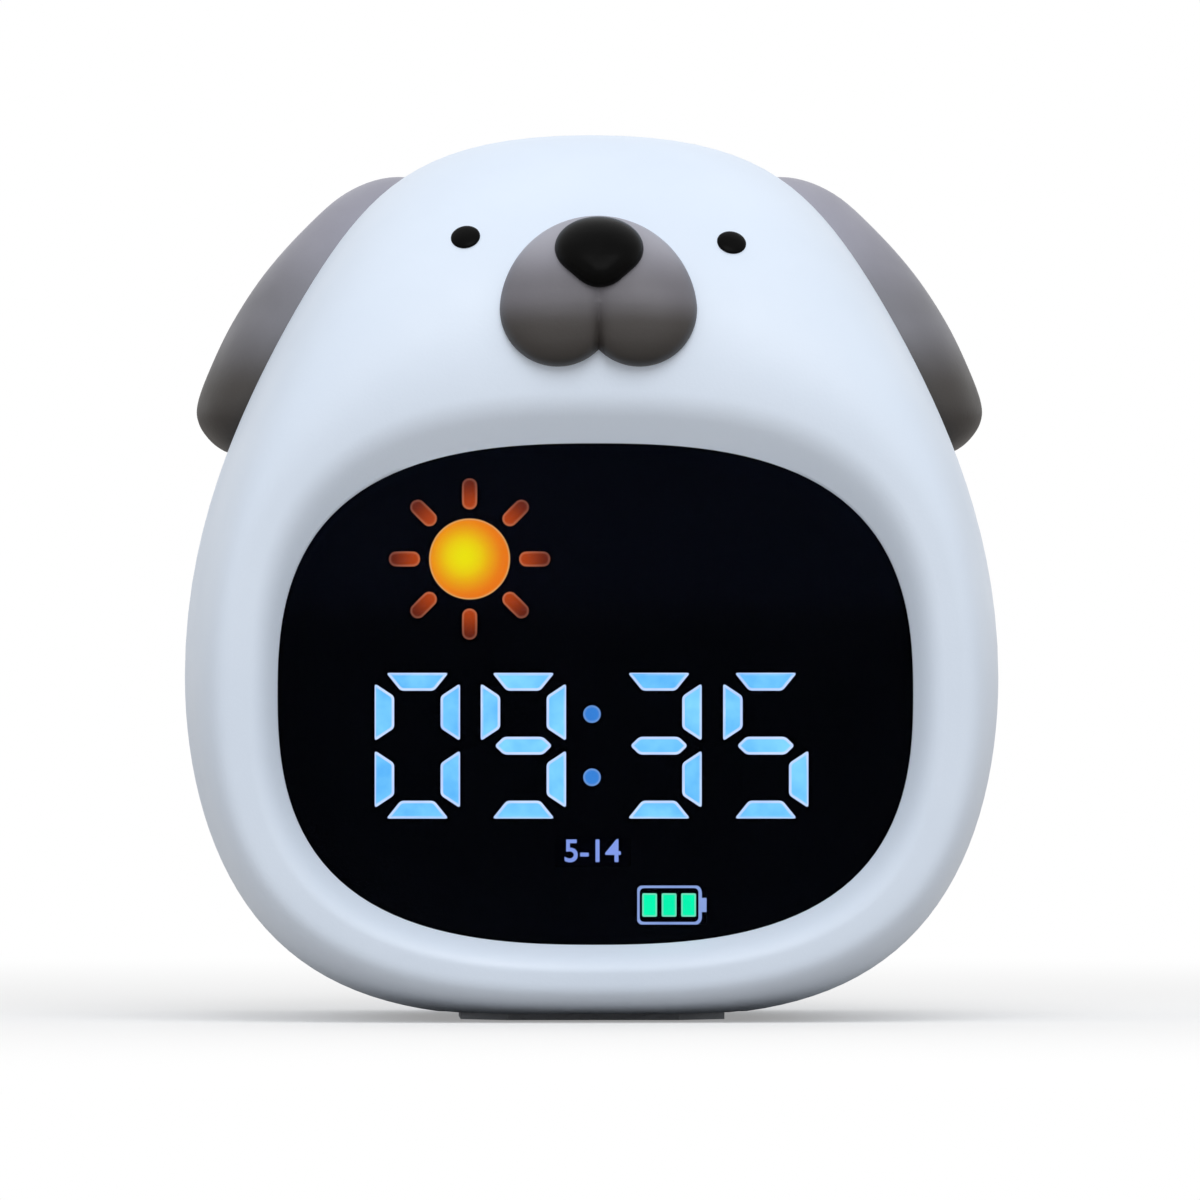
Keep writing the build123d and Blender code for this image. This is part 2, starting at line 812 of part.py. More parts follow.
with BuildPart() as digit_segments:
    with BuildSketch(facing(reflector_front_y)):
        with Locations(*digit_places):
            add(digit_outlines(0))
    extrude(amount=-segment_depth)
export(digit_segments, "digit_segments")

with BuildPart() as colon_dots:
    with BuildSketch(facing(reflector_front_y)):
        with Locations(*colon_places):
            RegularPolygon(colon_radius, 8)
    extrude(amount=-segment_depth)
export(colon_dots, "colon_dots")

with BuildPart() as sun_icon:
    with BuildSketch(facing(reflector_front_y)):
        with Locations((sun_x, sun_z)):
            add(sun_outline(0))
    extrude(amount=-segment_depth)
export(sun_icon, "sun_icon")

with BuildPart() as date_window:
    with BuildSketch(facing(reflector_front_y)):
        with Locations((date_x, date_z)):
            Rectangle(date_width, date_height)
    extrude(amount=-segment_depth)
export(date_window, "date_window")

with BuildPart() as battery_icon:
    with BuildSketch(facing(reflector_front_y)):
        with Locations((battery_icon_x, battery_icon_z)):
            add(battery_sign())
    extrude(amount=-battery_icon_relief)
    with BuildSketch(facing(reflector_front_y + battery_icon_relief)):
        with Locations((battery_icon_x, battery_icon_z)):
            Rectangle(battery_icon_width, battery_icon_height)
    extrude(amount=battery_icon_relief - segment_depth)
export(battery_icon, "battery_icon")

with BuildPart() as display_board:
    middle = (display_board_bottom + display_board_top) / 2
    with BuildSketch(facing(display_board_y)) as board_outline:
        with Locations((0, middle)):
            Rectangle(display_board_width, display_board_top - display_board_bottom)
        chamfer(board_outline.vertices().group_by(Axis.Y)[0], display_board_chamfer)
        chamfer(board_outline.vertices().group_by(Axis.Y)[-1], display_board_corner)
    extrude(amount=-board_thickness)
export(display_board, "display_board")

with BuildPart() as display_leds:
    bar_x = (digit_width - post_stroke) / 2
    bar_z = (digit_height - bar_stroke) / 2
    lamps = [(0, -bar_z), (0, 0), (0, bar_z)]
    lamps += [(side * bar_x, other * digit_height / 4) for side in sides for other in sides]
    with BuildSketch(facing(display_board_y)):
        for place in digit_places:
            with Locations(*[(place[0] + x, place[1] + z) for x, z in lamps]):
                Rectangle(led_size, led_size)
        with Locations(*colon_places, (sun_x, sun_z), (date_x, date_z), (battery_icon_x, battery_icon_z)):
            Rectangle(led_size, led_size)
        with Locations((sun_x, sun_z)):
            with PolarLocations((ray_inner + ray_outer) / 2, ray_count):
                Rectangle(led_size, led_size)
    extrude(amount=led_height)
export(display_leds, "display_leds")

with BuildPart() as display_driver:
    with BuildSketch(facing(display_board_back_y)):
        with Locations((0, driver_z)):
            Rectangle(driver_size, driver_size)
    extrude(amount=-driver_height)
export(display_driver, "display_driver")

# ---------------------------------------------------------------- main board
with BuildPart() as main_board:
    with BuildSketch(facing(main_board_y)):
        with Locations((0, (main_board_bottom + main_board_top) / 2)):
            Rectangle(main_board_width, main_board_top - main_board_bottom)
    extrude(amount=board_thickness)
export(main_board, "main_board")

with BuildPart() as main_chips:
    with BuildSketch(facing(main_board_front_y)):
        with Locations(controller_place):
            Rectangle(controller_size, controller_size)
        with Locations(sound_chip_place):
            Rectangle(sound_chip_size, sound_chip_size)
    extrude(amount=chip_height)
export(main_chips, "main_chips")

with BuildPart() as tact_switches:
    with BuildSketch(facing(main_board_y)):
        with Locations(*button_points):
            Rectangle(switch_size, switch_size)
    extrude(amount=-switch_height)
    with BuildSketch(facing(switch_top_y)):
        with Locations(*button_points):
            Rectangle(plunger_size + 2 * plunger_fit, plunger_size + 2 * plunger_fit)
    extrude(amount=switch_bore_depth, mode=Mode.SUBTRACT)
export(tact_switches, "tact_switches")

with BuildPart() as slide_switch:
    with BuildSketch(facing(main_board_y)):
        with Locations((0, slider_z)):
            Rectangle(slide_switch_length, slide_switch_width)
    extrude(amount=-switch_height)
    with BuildSketch(facing(switch_top_y)):
        with Locations((0, slider_z)):
            Rectangle(slider_stem + slider_travel + 2 * slider_fit, slider_stem + 2 * slider_fit)
    extrude(amount=slide_channel_depth, mode=Mode.SUBTRACT)
export(slide_switch, "slide_switch")

with BuildPart() as usb_socket:
    with BuildSketch(facing(main_board_y)):
        with Locations((0, usb_z)):
            SlotOverall(usb_width, usb_height)
    extrude(amount=main_board_y - usb_mouth_y)
    with BuildSketch(facing(usb_mouth_y)):
        with Locations((0, usb_z)):
            SlotOverall(usb_width - 2 * usb_shell, usb_height - 2 * usb_shell)
    extrude(amount=usb_depth, mode=Mode.SUBTRACT)
export(usb_socket, "usb_socket")

with BuildPart() as usb_tongue:
    with BuildSketch(facing(usb_mouth_y - usb_depth)):
        with Locations((0, usb_z)):
            Rectangle(usb_tongue_width, usb_tongue_thickness)
    extrude(amount=usb_tongue_short - usb_depth)
export(usb_tongue, "usb_tongue")

# ---------------------------------------------------------------- buttons and alarm switch
for place, name in zip(button_points, button_names):
    with BuildPart() as button:
        with BuildSketch(facing(flange_y)):
            with Locations(place):
                Circle(button_radius)
        extrude(amount=flange_y - clock_depth / 2)
        with BuildSketch(facing(flange_y)):
            with Locations(place):
                Rectangle(button_flange, button_flange)
        extrude(amount=button_flange_thickness)
    export(button, name)
    with BuildPart() as plunger:
        with BuildSketch(facing(button_flange_y)):
            with Locations(place):
                Rectangle(plunger_size, plunger_size)
        extrude(amount=button_flange_y - switch_top_y + plunger_engagement)
    export(plunger, name + "_plunger")

with BuildPart() as alarm_slider:
    with BuildSketch(facing(flange_y)):
        with Locations((0, slider_z)):
            Rectangle(slider_length, slider_height)
    extrude(amount=flange_y - clock_depth / 2)
    with BuildSketch(facing(flange_y)):
        with Locations((0, slider_z)):
            Rectangle(slider_flange_length, slider_flange_height)
    extrude(amount=slider_flange_thickness)
    with BuildSketch(facing(slider_flange_y)):
        with Locations((0, slider_z)):
            Rectangle(slider_stem, slider_stem)
    extrude(amount=slider_flange_y - switch_top_y + slider_stem_engagement)
export(alarm_slider, "alarm_slider")

# ---------------------------------------------------------------- speaker
with BuildPart() as speaker_frame:
    with BuildSketch(facing(inner_back_y)) as frame_outline:
        with Locations((0, grille_z)):
            Rectangle(speaker_size, speaker_size)
        chamfer(frame_outline.vertices(), speaker_corner)
    extrude(amount=speaker_height)
    with BuildSketch(facing(inner_back_y)):
        with Locations((0, grille_z)):
            Rectangle(2 * speaker_ear_x + speaker_ear_width, speaker_ear_width)
    extrude(amount=speaker_ear_thickness)
    with BuildSketch(facing(inner_back_y)):
        with Locations((0, grille_z)):
            Circle(cone_radius + cone_fit)
    extrude(amount=speaker_recess, mode=Mode.SUBTRACT)
export(speaker_frame, "speaker_frame")

with BuildPart() as speaker_cone:
    with BuildSketch(facing(inner_back_y - speaker_recess)):
        with Locations((0, grille_z)):
            Circle(cone_radius)
    extrude(amount=-cone_thickness)
export(speaker_cone, "speaker_cone")

with BuildPart() as speaker_magnet:
    with BuildSketch(facing(speaker_front_y)):
        with Locations((0, grille_z)):
            Rectangle(speaker_magnet_size, speaker_magnet_size)
    extrude(amount=speaker_magnet_height)
export(speaker_magnet, "speaker_magnet")

with BuildPart() as speaker_leads:
    with BuildSketch(facing(speaker_front_y)):
        with Locations(*[(speaker_lead_x, grille_z + side * speaker_lead_pitch / 2) for side in sides]):
            Rectangle(speaker_lead_size, speaker_lead_size)
    extrude(amount=speaker_front_y - main_board_y)
export(speaker_leads, "speaker_leads")

# ---------------------------------------------------------------- battery
with BuildPart() as battery_tape_pad:
    with BuildSketch(Plane.XY.offset(floor_z)):
        with Locations((0, battery_y)):
            Rectangle(battery_length - 2 * battery_tape_margin, battery_width - 2 * battery_tape_margin)
    extrude(amount=battery_tape)
export(battery_tape_pad, "battery_tape")

with BuildPart() as battery_cell:
    with BuildSketch(Plane.XY.offset(battery_z)):
        with Locations((0, battery_y)):
            Rectangle(battery_length, battery_width)
    extrude(amount=battery_height)
export(battery_cell, "battery_cell")

with BuildPart() as battery_socket:
    with BuildSketch(facing(main_board_front_y)):
        with Locations((lead_x, lead_high_z)):
            Rectangle(socket_width, socket_height)
    extrude(amount=socket_depth)
export(battery_socket, "battery_socket")

with BuildPart() as battery_leads:
    with BuildSketch(Plane.YZ.offset(lead_x)):
        with BuildLine():
            Polyline(
                (battery_end_y, lead_low_z),
                (lead_y, lead_low_z),
                (lead_y, lead_high_z - lead_thickness),
                (main_board_front_y - socket_depth, lead_high_z - lead_thickness),
                (main_board_front_y - socket_depth, lead_high_z),
                (lead_y - lead_thickness, lead_high_z),
                (lead_y - lead_thickness, lead_low_z + lead_thickness),
                (battery_end_y, lead_low_z + lead_thickness),
                close=True,
            )
        make_face()
    extrude(amount=lead_width / 2, both=True)
export(battery_leads, "battery_leads")

# ---------------------------------------------------------------- night light
with BuildPart() as light_board:
    with BuildSketch(Plane.XY.offset(light_board_z)):
        with Locations((0, light_board_y)):
            Rectangle(light_board_width, light_board_depth)
    extrude(amount=board_thickness)
export(light_board, "light_board")

with BuildPart() as light_leds:
    with BuildSketch(Plane.XY.offset(light_board_top)):
        with Locations((0, light_board_y)):
            with GridLocations(light_led_pitch, 0, light_led_count, 1):
                Rectangle(light_led_size, light_led_size)
    extrude(amount=light_led_height)
export(light_leds, "light_leds")

with BuildPart() as light_diffuser:
    with BuildSketch(Plane.XY.offset(light_board_top)) as cover_outline:
        with Locations((0, light_board_y)):
            Rectangle(diffuser_length, diffuser_width)
        chamfer(cover_outline.vertices(), diffuser_corner)
    extrude(amount=diffuser_height)
    with BuildSketch(Plane.XY.offset(light_board_top)):
        with Locations((0, light_board_y)):
            Rectangle(diffuser_length - 2 * diffuser_corner, diffuser_width - 2 * diffuser_wall)
    extrude(amount=diffuser_height - diffuser_wall, mode=Mode.SUBTRACT)
export(light_diffuser, "light_diffuser")

# ---------------------------------------------------------------- flat cable
with BuildPart() as ribbon_sockets:
    for y, way in ((display_board_back_y, -1), (main_board_front_y, 1)):
        with BuildSketch(facing(y)):
            with Locations((0, ribbon_z)):
                Rectangle(connector_length, connector_height)
        extrude(amount=way * connector_depth)
export(ribbon_sockets, "ribbon_sockets")

with BuildPart() as ribbon_cable:
    start_y = display_board_back_y + connector_depth
    end_y = main_board_front_y - connector_depth
    path = [
        (start_y, ribbon_z),
        (start_y + ribbon_bend, ribbon_z - ribbon_sag),
        (end_y - ribbon_bend, ribbon_z - ribbon_sag),
        (end_y, ribbon_z),
    ]
    with BuildSketch(Plane.YZ):
        with BuildLine():
            Polyline(*path, *[(y, z - ribbon_thickness) for y, z in path[::-1]], close=True)
        make_face()
    extrude(amount=ribbon_width / 2, both=True)
export(ribbon_cable, "ribbon_cable")
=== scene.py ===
import bpy
import math
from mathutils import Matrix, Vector
from mathutils.bvhtree import BVHTree


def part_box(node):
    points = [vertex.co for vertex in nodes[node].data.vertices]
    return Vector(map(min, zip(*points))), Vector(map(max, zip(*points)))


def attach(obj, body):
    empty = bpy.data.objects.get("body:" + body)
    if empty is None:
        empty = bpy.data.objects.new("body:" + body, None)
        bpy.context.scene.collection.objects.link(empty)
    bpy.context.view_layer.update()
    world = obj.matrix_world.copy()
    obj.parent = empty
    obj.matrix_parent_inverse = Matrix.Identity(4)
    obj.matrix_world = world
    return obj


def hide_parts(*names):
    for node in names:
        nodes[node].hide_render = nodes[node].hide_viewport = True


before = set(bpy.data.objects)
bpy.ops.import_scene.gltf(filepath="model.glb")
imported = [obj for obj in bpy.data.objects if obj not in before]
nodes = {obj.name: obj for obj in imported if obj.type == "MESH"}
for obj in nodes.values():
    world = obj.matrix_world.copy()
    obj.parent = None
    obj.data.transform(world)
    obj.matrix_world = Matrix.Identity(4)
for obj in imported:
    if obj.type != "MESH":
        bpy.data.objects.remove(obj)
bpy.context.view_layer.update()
mm = 0.001
sameSpot = 0.004  # points nearer to each other than this, in millimetres, are one point
hair = 0.001  # millimetres that keep two faces apart
facesForward = -0.9  # a face looks forwards when its normal's y is below this


def setMode(mode):
    bpy.ops.object.mode_set(mode=mode)


def deselectAll():
    if bpy.context.object and bpy.context.object.mode != "OBJECT":
        setMode("OBJECT")
    bpy.ops.object.select_all(action="DESELECT")


def pick(obj):
    deselectAll()
    obj.select_set(True)
    bpy.context.view_layer.objects.active = obj


def settle(obj):
    # put the object's place into its mesh, so that it sits at the origin
    pick(obj)
    bpy.ops.object.transform_apply(location=True, rotation=True, scale=True)


def dress(obj, *names):
    obj.data.materials.clear()
    for name in names:
        obj.data.materials.append(finishes[name])


def finishPiece(obj, name, finish, replaced=(), smooth=30, body="clock"):
    settle(obj)
    obj.name = name
    obj.data.name = name
    if finish:
        dress(obj, finish)
    if smooth:
        bpy.ops.object.shade_smooth_by_angle(angle=math.radians(smooth))
    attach(obj, body)
    if replaced:
        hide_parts(*replaced)
    return obj


def editAll(obj):
    pick(obj)
    setMode("EDIT")
    bpy.ops.mesh.select_all(action="SELECT")


def faceOutwards():
    # turn all faces of the mesh in edit mode outwards, and leave edit mode
    bpy.ops.mesh.select_all(action="SELECT")
    bpy.ops.mesh.normals_make_consistent(inside=False)
    setMode("OBJECT")


def ringPiece(rings, closed=False):
    # a grid laid over a stack of rings, each a closed loop of the same number of points in millimetres
    columns = len(rings[0])
    rows = len(rings) if closed else len(rings) - 1
    deselectAll()
    bpy.ops.mesh.primitive_grid_add(x_subdivisions=columns, y_subdivisions=rows, size=1)
    obj = bpy.context.object
    for vertex in obj.data.vertices:
        column = round((vertex.co.x + 0.5) * columns) % columns
        row = round((vertex.co.y + 0.5) * rows) % len(rings)
        vertex.co = Vector(rings[row][column]) * mm
    editAll(obj)
    bpy.ops.mesh.remove_doubles(threshold=sameSpot * mm)
    faceOutwards()
    return obj


def capEnds(obj):
    # close open loops with a face
    pick(obj)
    setMode("EDIT")
    bpy.ops.mesh.select_all(action="DESELECT")
    bpy.ops.mesh.select_non_manifold(extend=False, use_wire=False, use_multi_face=False,
                                     use_non_contiguous=False)
    bpy.ops.mesh.edge_face_add()
    faceOutwards()


def flatOutline(points, frontY):
    # an outline in x and z, in millimetres, as a flat face that looks forwards
    deselectAll()
    bpy.ops.mesh.primitive_circle_add(vertices=len(points), radius=1, fill_type="NGON")
    obj = bpy.context.object
    for vertex, (x, z) in zip(obj.data.vertices, points):
        vertex.co = Vector((x, frontY, z)) * mm
    return obj


def drawnOut(obj, depth):
    # a flat face made a solid rearwards
    editAll(obj)
    bpy.ops.mesh.extrude_region_move(TRANSFORM_OT_translate={"value": (0, depth * mm, 0)})
    faceOutwards()
    return obj


def outlinePiece(points, frontY, depth):
    return drawnOut(flatOutline(points, frontY), depth)


def bevelEdges(obj, width, segments=3, angle=40):
    pick(obj)
    bevel = obj.modifiers.new("bevel", "BEVEL")
    bevel.width = width * mm
    bevel.segments = segments
    bevel.limit_method = "ANGLE"
    bevel.angle_limit = math.radians(angle)
    bpy.ops.object.modifier_apply(modifier="bevel")


def insetFront(obj, width):
    # a border on the faces that look forwards, with the middle in the object's second material
    pick(obj)
    setMode("EDIT")
    bpy.ops.mesh.select_mode(type="FACE")
    bpy.ops.mesh.select_all(action="DESELECT")
    setMode("OBJECT")
    for face in obj.data.polygons:
        face.select = face.normal.y < facesForward
    setMode("EDIT")
    bpy.ops.mesh.inset(thickness=width * mm, depth=0)
    setMode("OBJECT")
    for face in obj.data.polygons:
        if face.select:
            face.material_index = 1
    setMode("EDIT")
    bpy.ops.mesh.select_mode(type="VERT")
    setMode("OBJECT")


def joinAll(pieces):
    deselectAll()
    for piece in pieces:
        piece.select_set(True)
    bpy.context.view_layer.objects.active = pieces[0]
    bpy.ops.object.join()
    return bpy.context.object


def boolean(obj, tool, operation="DIFFERENCE"):
    pick(obj)
    cut = obj.modifiers.new("cut", "BOOLEAN")
    cut.operation = operation
    cut.solver = "EXACT"
    cut.object = tool
    bpy.ops.object.modifier_apply(modifier="cut")
    bpy.data.objects.remove(tool)


def roundBar(x, z, length, width, height, y, turn=0, sides=40):
    # a bar with round ends that looks forwards; its height lies along the depth
    deselectAll()
    bpy.ops.mesh.primitive_cylinder_add(vertices=sides, radius=width / 2 * mm, depth=height * mm)
    bar = bpy.context.object
    stretch = (length - width) / 2 * mm
    for vertex in bar.data.vertices:
        if abs(vertex.co.x) > hair * mm:
            vertex.co.x += math.copysign(stretch, vertex.co.x)
    centre = Vector((x * mm, y * mm, z * mm))
    bar.rotation_euler = (math.radians(90), 0, 0)
    bar.location = centre
    settle(bar)
    if turn:
        swing = math.radians(turn)
        for vertex in bar.data.vertices:
            spot = vertex.co - centre
            vertex.co = centre + Vector((spot.x * math.cos(swing) - spot.z * math.sin(swing), spot.y,
                                         spot.x * math.sin(swing) + spot.z * math.cos(swing)))
    return bar


def rod(x, z, radius, height, y, sides=40):
    return roundBar(x, z, 2 * radius, 2 * radius, height, y, sides=sides)


def rayBars(x, z, inner, outer, width, height, y, count, sides):
    # bars that stand round a point like rays
    rays = []
    away = (inner + outer) / 2
    for index in range(count):
        turn = 360 * index / count
        rays.append(roundBar(x + away * math.cos(math.radians(turn)), z + away * math.sin(math.radians(turn)),
                             outer - inner, width, height, y, turn, sides))
    return rays


def block(x, y, z, sizeX, sizeY, sizeZ):
    deselectAll()
    bpy.ops.mesh.primitive_cube_add(size=1, location=(x * mm, y * mm, z * mm))
    box = bpy.context.object
    box.scale = (sizeX * mm, sizeY * mm, sizeZ * mm)
    settle(box)
    return box


# materials

mixFrom, mixTo, mixOut = 6, 7, 2  # the colour sockets of a Mix node go by number
noiseRange = {"From Min": 0.3, "From Max": 0.7}  # where nearly all of a noise lies
grainDepth = 0.2  # millimetres, before its strength


def setInputs(node, values):
    for socket, value in values.items():
        node.inputs[socket].default_value = value


def addNode(tree, kind, values=None, **options):
    node = tree.nodes.new("ShaderNode" + kind)
    for option, value in options.items():
        setattr(node, option, value)
    setInputs(node, values or {})
    return node


def wire(tree, *routes):
    # each route is a node, its output, the next node and its input
    for start, output, end, entry in routes:
        tree.links.new(start.outputs[output], end.inputs[entry])


def newMaterial(name):
    material = bpy.data.materials.new(name)
    material.use_nodes = True
    return material, material.node_tree, material.node_tree.nodes["Principled BSDF"]


def makeGrainGroup():
    # colour that drifts a little, roughness that changes over the surface, and a fine moulded grain
    group = bpy.data.node_groups.new("mouldedFinish", "ShaderNodeTree")
    sockets = {
        "INPUT": {"Tint": "Color", "Shade": "Color", "Patch Scale": "Float", "Grain Scale": "Float",
                  "Smooth": "Float", "Rough": "Float"},
        "OUTPUT": {"Color": "Color", "Roughness": "Float", "Height": "Float"},
    }
    for side, kinds in sockets.items():
        for name, kind in kinds.items():
            group.interface.new_socket(name, in_out=side, socket_type="NodeSocket" + kind)
    entry = group.nodes.new("NodeGroupInput")
    leave = group.nodes.new("NodeGroupOutput")
    place = addNode(group, "TexCoord")
    patches = addNode(group, "TexNoise", {"Detail": 3})
    grain = addNode(group, "TexNoise", {"Detail": 2})
    spread = addNode(group, "MapRange", noiseRange)
    blend = addNode(group, "Mix", data_type="RGBA")
    rub = addNode(group, "MapRange", noiseRange)
    wire(group, (place, "Object", patches, "Vector"), (place, "Object", grain, "Vector"),
         (entry, "Patch Scale", patches, "Scale"), (entry, "Grain Scale", grain, "Scale"),
         (patches, "Fac", spread, "Value"), (spread, "Result", blend, "Factor"),
         (entry, "Tint", blend, mixFrom), (entry, "Shade", blend, mixTo), (patches, "Fac", rub, "Value"),
         (entry, "Smooth", rub, "To Min"), (entry, "Rough", rub, "To Max"),
         (blend, mixOut, leave, "Color"), (rub, "Result", leave, "Roughness"),
         (grain, "Fac", leave, "Height"))
    return group


grainGroup = makeGrainGroup()


def addGrain(tree, tint, shade, smooth, rough, patchScale, grainScale):
    return addNode(tree, "Group", {
        "Tint": (*tint, 1), "Shade": (*shade, 1), "Smooth": smooth, "Rough": rough,
        "Patch Scale": patchScale, "Grain Scale": grainScale}, node_tree=grainGroup)


def makeFinish(name, tint, shade, smooth, rough, patchScale, grainScale, grain, metallic=0.0, specular=0.5):
    material, tree, shader = newMaterial(name)
    finish = addGrain(tree, tint, shade, smooth, rough, patchScale, grainScale)
    bump = addNode(tree, "Bump", {"Strength": grain, "Distance": grainDepth * mm})
    setInputs(shader, {"Metallic": metallic, "Specular IOR Level": specular})
    wire(tree, (finish, "Color", shader, "Base Color"), (finish, "Roughness", shader, "Roughness"),
         (finish, "Height", bump, "Height"), (bump, "Normal", shader, "Normal"))
    return material


# the finish for the painted shade on the ears and muzzle, darker towards the bottom, with a little noise
# along the change
paintedShadeFinish = {"patchScale": 90, "grainScale": 2300, "grain": 0.1, "cloudScale": 55, "cloudReach": 0.12,
            "patchShade": 0.88}


def makePaintedShade(name, low, high, stops, smooth, rough):
    # the moulded finish over a colour that changes with height, from low to high in millimetres: painted
    # shade, the grey turning dark brown towards the bottom
    grey = (0.5, 0.5, 0.5)  # gives way to the ramp
    material = makeFinish(name, grey, grey, smooth, rough,
                          paintedShadeFinish["patchScale"], paintedShadeFinish["grainScale"], paintedShadeFinish["grain"])
    tree = material.node_tree
    finish = next(node for node in tree.nodes if node.type == "GROUP")
    place = addNode(tree, "TexCoord")
    parts = addNode(tree, "SeparateXYZ")
    height = addNode(tree, "MapRange", {"From Min": low * mm, "From Max": high * mm})
    cloud = addNode(tree, "TexNoise", {"Scale": paintedShadeFinish["cloudScale"]})
    wander = addNode(tree, "Math", {1: paintedShadeFinish["cloudReach"]}, operation="MULTIPLY_ADD")
    ramp = addNode(tree, "ValToRGB")
    ramp.color_ramp.interpolation = "EASE"
    elements = ramp.color_ramp.elements
    while len(elements) < len(stops):
        elements.new(0.5)
    for element, (position, colour) in zip(elements, stops):
        element.position = position
        element.color = (*colour, 1)
    deeper = addNode(tree, "Mix", {"Factor": 1.0, mixTo: (*[paintedShadeFinish["patchShade"]] * 3, 1)},
                     data_type="RGBA", blend_type="MULTIPLY")
    wire(tree, (place, "Object", parts, "Vector"), (place, "Object", cloud, "Vector"),
         (parts, "Z", height, "Value"), (cloud, "Fac", wander, 0), (height, "Result", wander, 2),
         (wander, "Value", ramp, "Fac"), (ramp, "Color", finish, "Tint"), (ramp, "Color", deeper, mixFrom),
         (deeper, mixOut, finish, "Shade"))
    return material


litSurface = {"smooth": 0.4, "rough": 0.6, "grainScale": 2000, "strength": 1.45, "patchScale": 180}


def makeGlow(name, inner, outer, centre, start, reach):
    # a lit surface that shades from one colour to another away from a point
    material, tree, shader = newMaterial(name)
    place = addNode(tree, "TexCoord")
    away = addNode(tree, "VectorMath", {1: Vector(centre) * mm}, operation="DISTANCE")
    share = addNode(tree, "MapRange", {"From Min": start * mm, "From Max": reach * mm},
                    interpolation_type="SMOOTHSTEP")
    mix = addNode(tree, "Mix", {mixFrom: (*inner, 1), mixTo: (*outer, 1)}, data_type="RGBA")
    setInputs(shader, {"Base Color": (0.005, 0.005, 0.005, 1), "Roughness": litSurface["rough"],
                       "Specular IOR Level": 0.0, "Emission Strength": litSurface["strength"]})
    wire(tree, (place, "Object", away, 0), (away, "Value", share, "Value"), (share, "Result", mix, "Factor"),
         (mix, mixOut, shader, "Emission Color"))
    return material


def makeLit(name, bright, dim, strength=litSurface["strength"], patchScale=litSurface["patchScale"]):
    # a lit surface with the slight unevenness of light pipes
    material, tree, shader = newMaterial(name)
    finish = addGrain(tree, bright, dim, litSurface["smooth"], litSurface["rough"], patchScale,
                      litSurface["grainScale"])
    setInputs(shader, {"Base Color": (0.005, 0.005, 0.006, 1), "Specular IOR Level": 0.0,
                       "Emission Strength": strength})
    wire(tree, (finish, "Color", shader, "Emission Color"), (finish, "Roughness", shader, "Roughness"))
    return material


# two colours that drift into each other, smoothest and roughest, patches and grain to the metre,
# strength of the grain, then metallic and specular where they aren't plain
moulded = {
    "shellWhite": ((0.745, 0.84, 0.975), (0.715, 0.81, 0.945), 0.40, 0.52, 45, 2600, 0.06),
    "noseBlack": ((0.002, 0.002, 0.002), (0.004, 0.004, 0.004), 0.25, 0.38, 120, 2500, 0.03, 0.0, 0.03),
    "maskBlack": ((0.0012, 0.0012, 0.002), (0.002, 0.002, 0.003), 0.8, 0.95, 90, 2500, 0.1, 0.0, 0.0),
    "unlit": ((0.0012, 0.0012, 0.002), (0.002, 0.002, 0.003), 0.8, 0.95, 200, 3000, 0.05, 0.0, 0.0),
    "boardGreen": ((0.01, 0.09, 0.04), (0.015, 0.13, 0.05), 0.4, 0.55, 200, 3000, 0.1),
    "chipBlack": ((0.015, 0.015, 0.017), (0.025, 0.025, 0.027), 0.5, 0.65, 300, 4000, 0.15),
    "metal": ((0.6, 0.6, 0.62), (0.5, 0.5, 0.52), 0.25, 0.4, 200, 4000, 0.08, 1.0),
    "padGrey": ((0.70, 0.73, 0.78), (0.64, 0.67, 0.72), 0.65, 0.8, 120, 1800, 0.25),
    "rubber": ((0.02, 0.02, 0.022), (0.035, 0.035, 0.037), 0.7, 0.85, 120, 1800, 0.3),
    "coneFilm": ((0.03, 0.03, 0.033), (0.045, 0.045, 0.05), 0.35, 0.5, 200, 3000, 0.1),
    "leadRed": ((0.35, 0.02, 0.02), (0.28, 0.015, 0.015), 0.4, 0.5, 200, 3000, 0.05),
    "cellWrap": ((0.45, 0.48, 0.52), (0.4, 0.43, 0.47), 0.3, 0.45, 120, 3000, 0.05),
    "ivory": ((0.62, 0.6, 0.52), (0.56, 0.54, 0.47), 0.4, 0.5, 200, 3000, 0.05),
    "diffuser": ((0.8, 0.8, 0.78), (0.75, 0.75, 0.73), 0.5, 0.6, 120, 3000, 0.05),
    "keyGrey": ((0.20, 0.205, 0.22), (0.17, 0.175, 0.19), 0.4, 0.55, 200, 2600, 0.1),
    "markWhite": ((0.7, 0.72, 0.75), (0.62, 0.64, 0.67), 0.4, 0.5, 200, 3000, 0.05),
}
# the heights between which the colour changes, its stops, smoothest and roughest; the stops paint shade, dark
# brown at the bottom and pale lavender grey at the top
paintedShadeGreys = {
    "earGrey": (73, 108, [(0.05, (0.024, 0.020, 0.018)), (0.28, (0.042, 0.037, 0.034)),
                          (0.58, (0.195, 0.195, 0.222)), (0.95, (0.35, 0.35, 0.42))], 0.45, 0.6),
    "muzzleGrey": (84, 103, [(0.08, (0.019, 0.016, 0.014)), (0.32, (0.038, 0.033, 0.031)),
                             (0.58, (0.145, 0.140, 0.162)), (1.0, (0.36, 0.36, 0.42))], 0.42, 0.55),
}
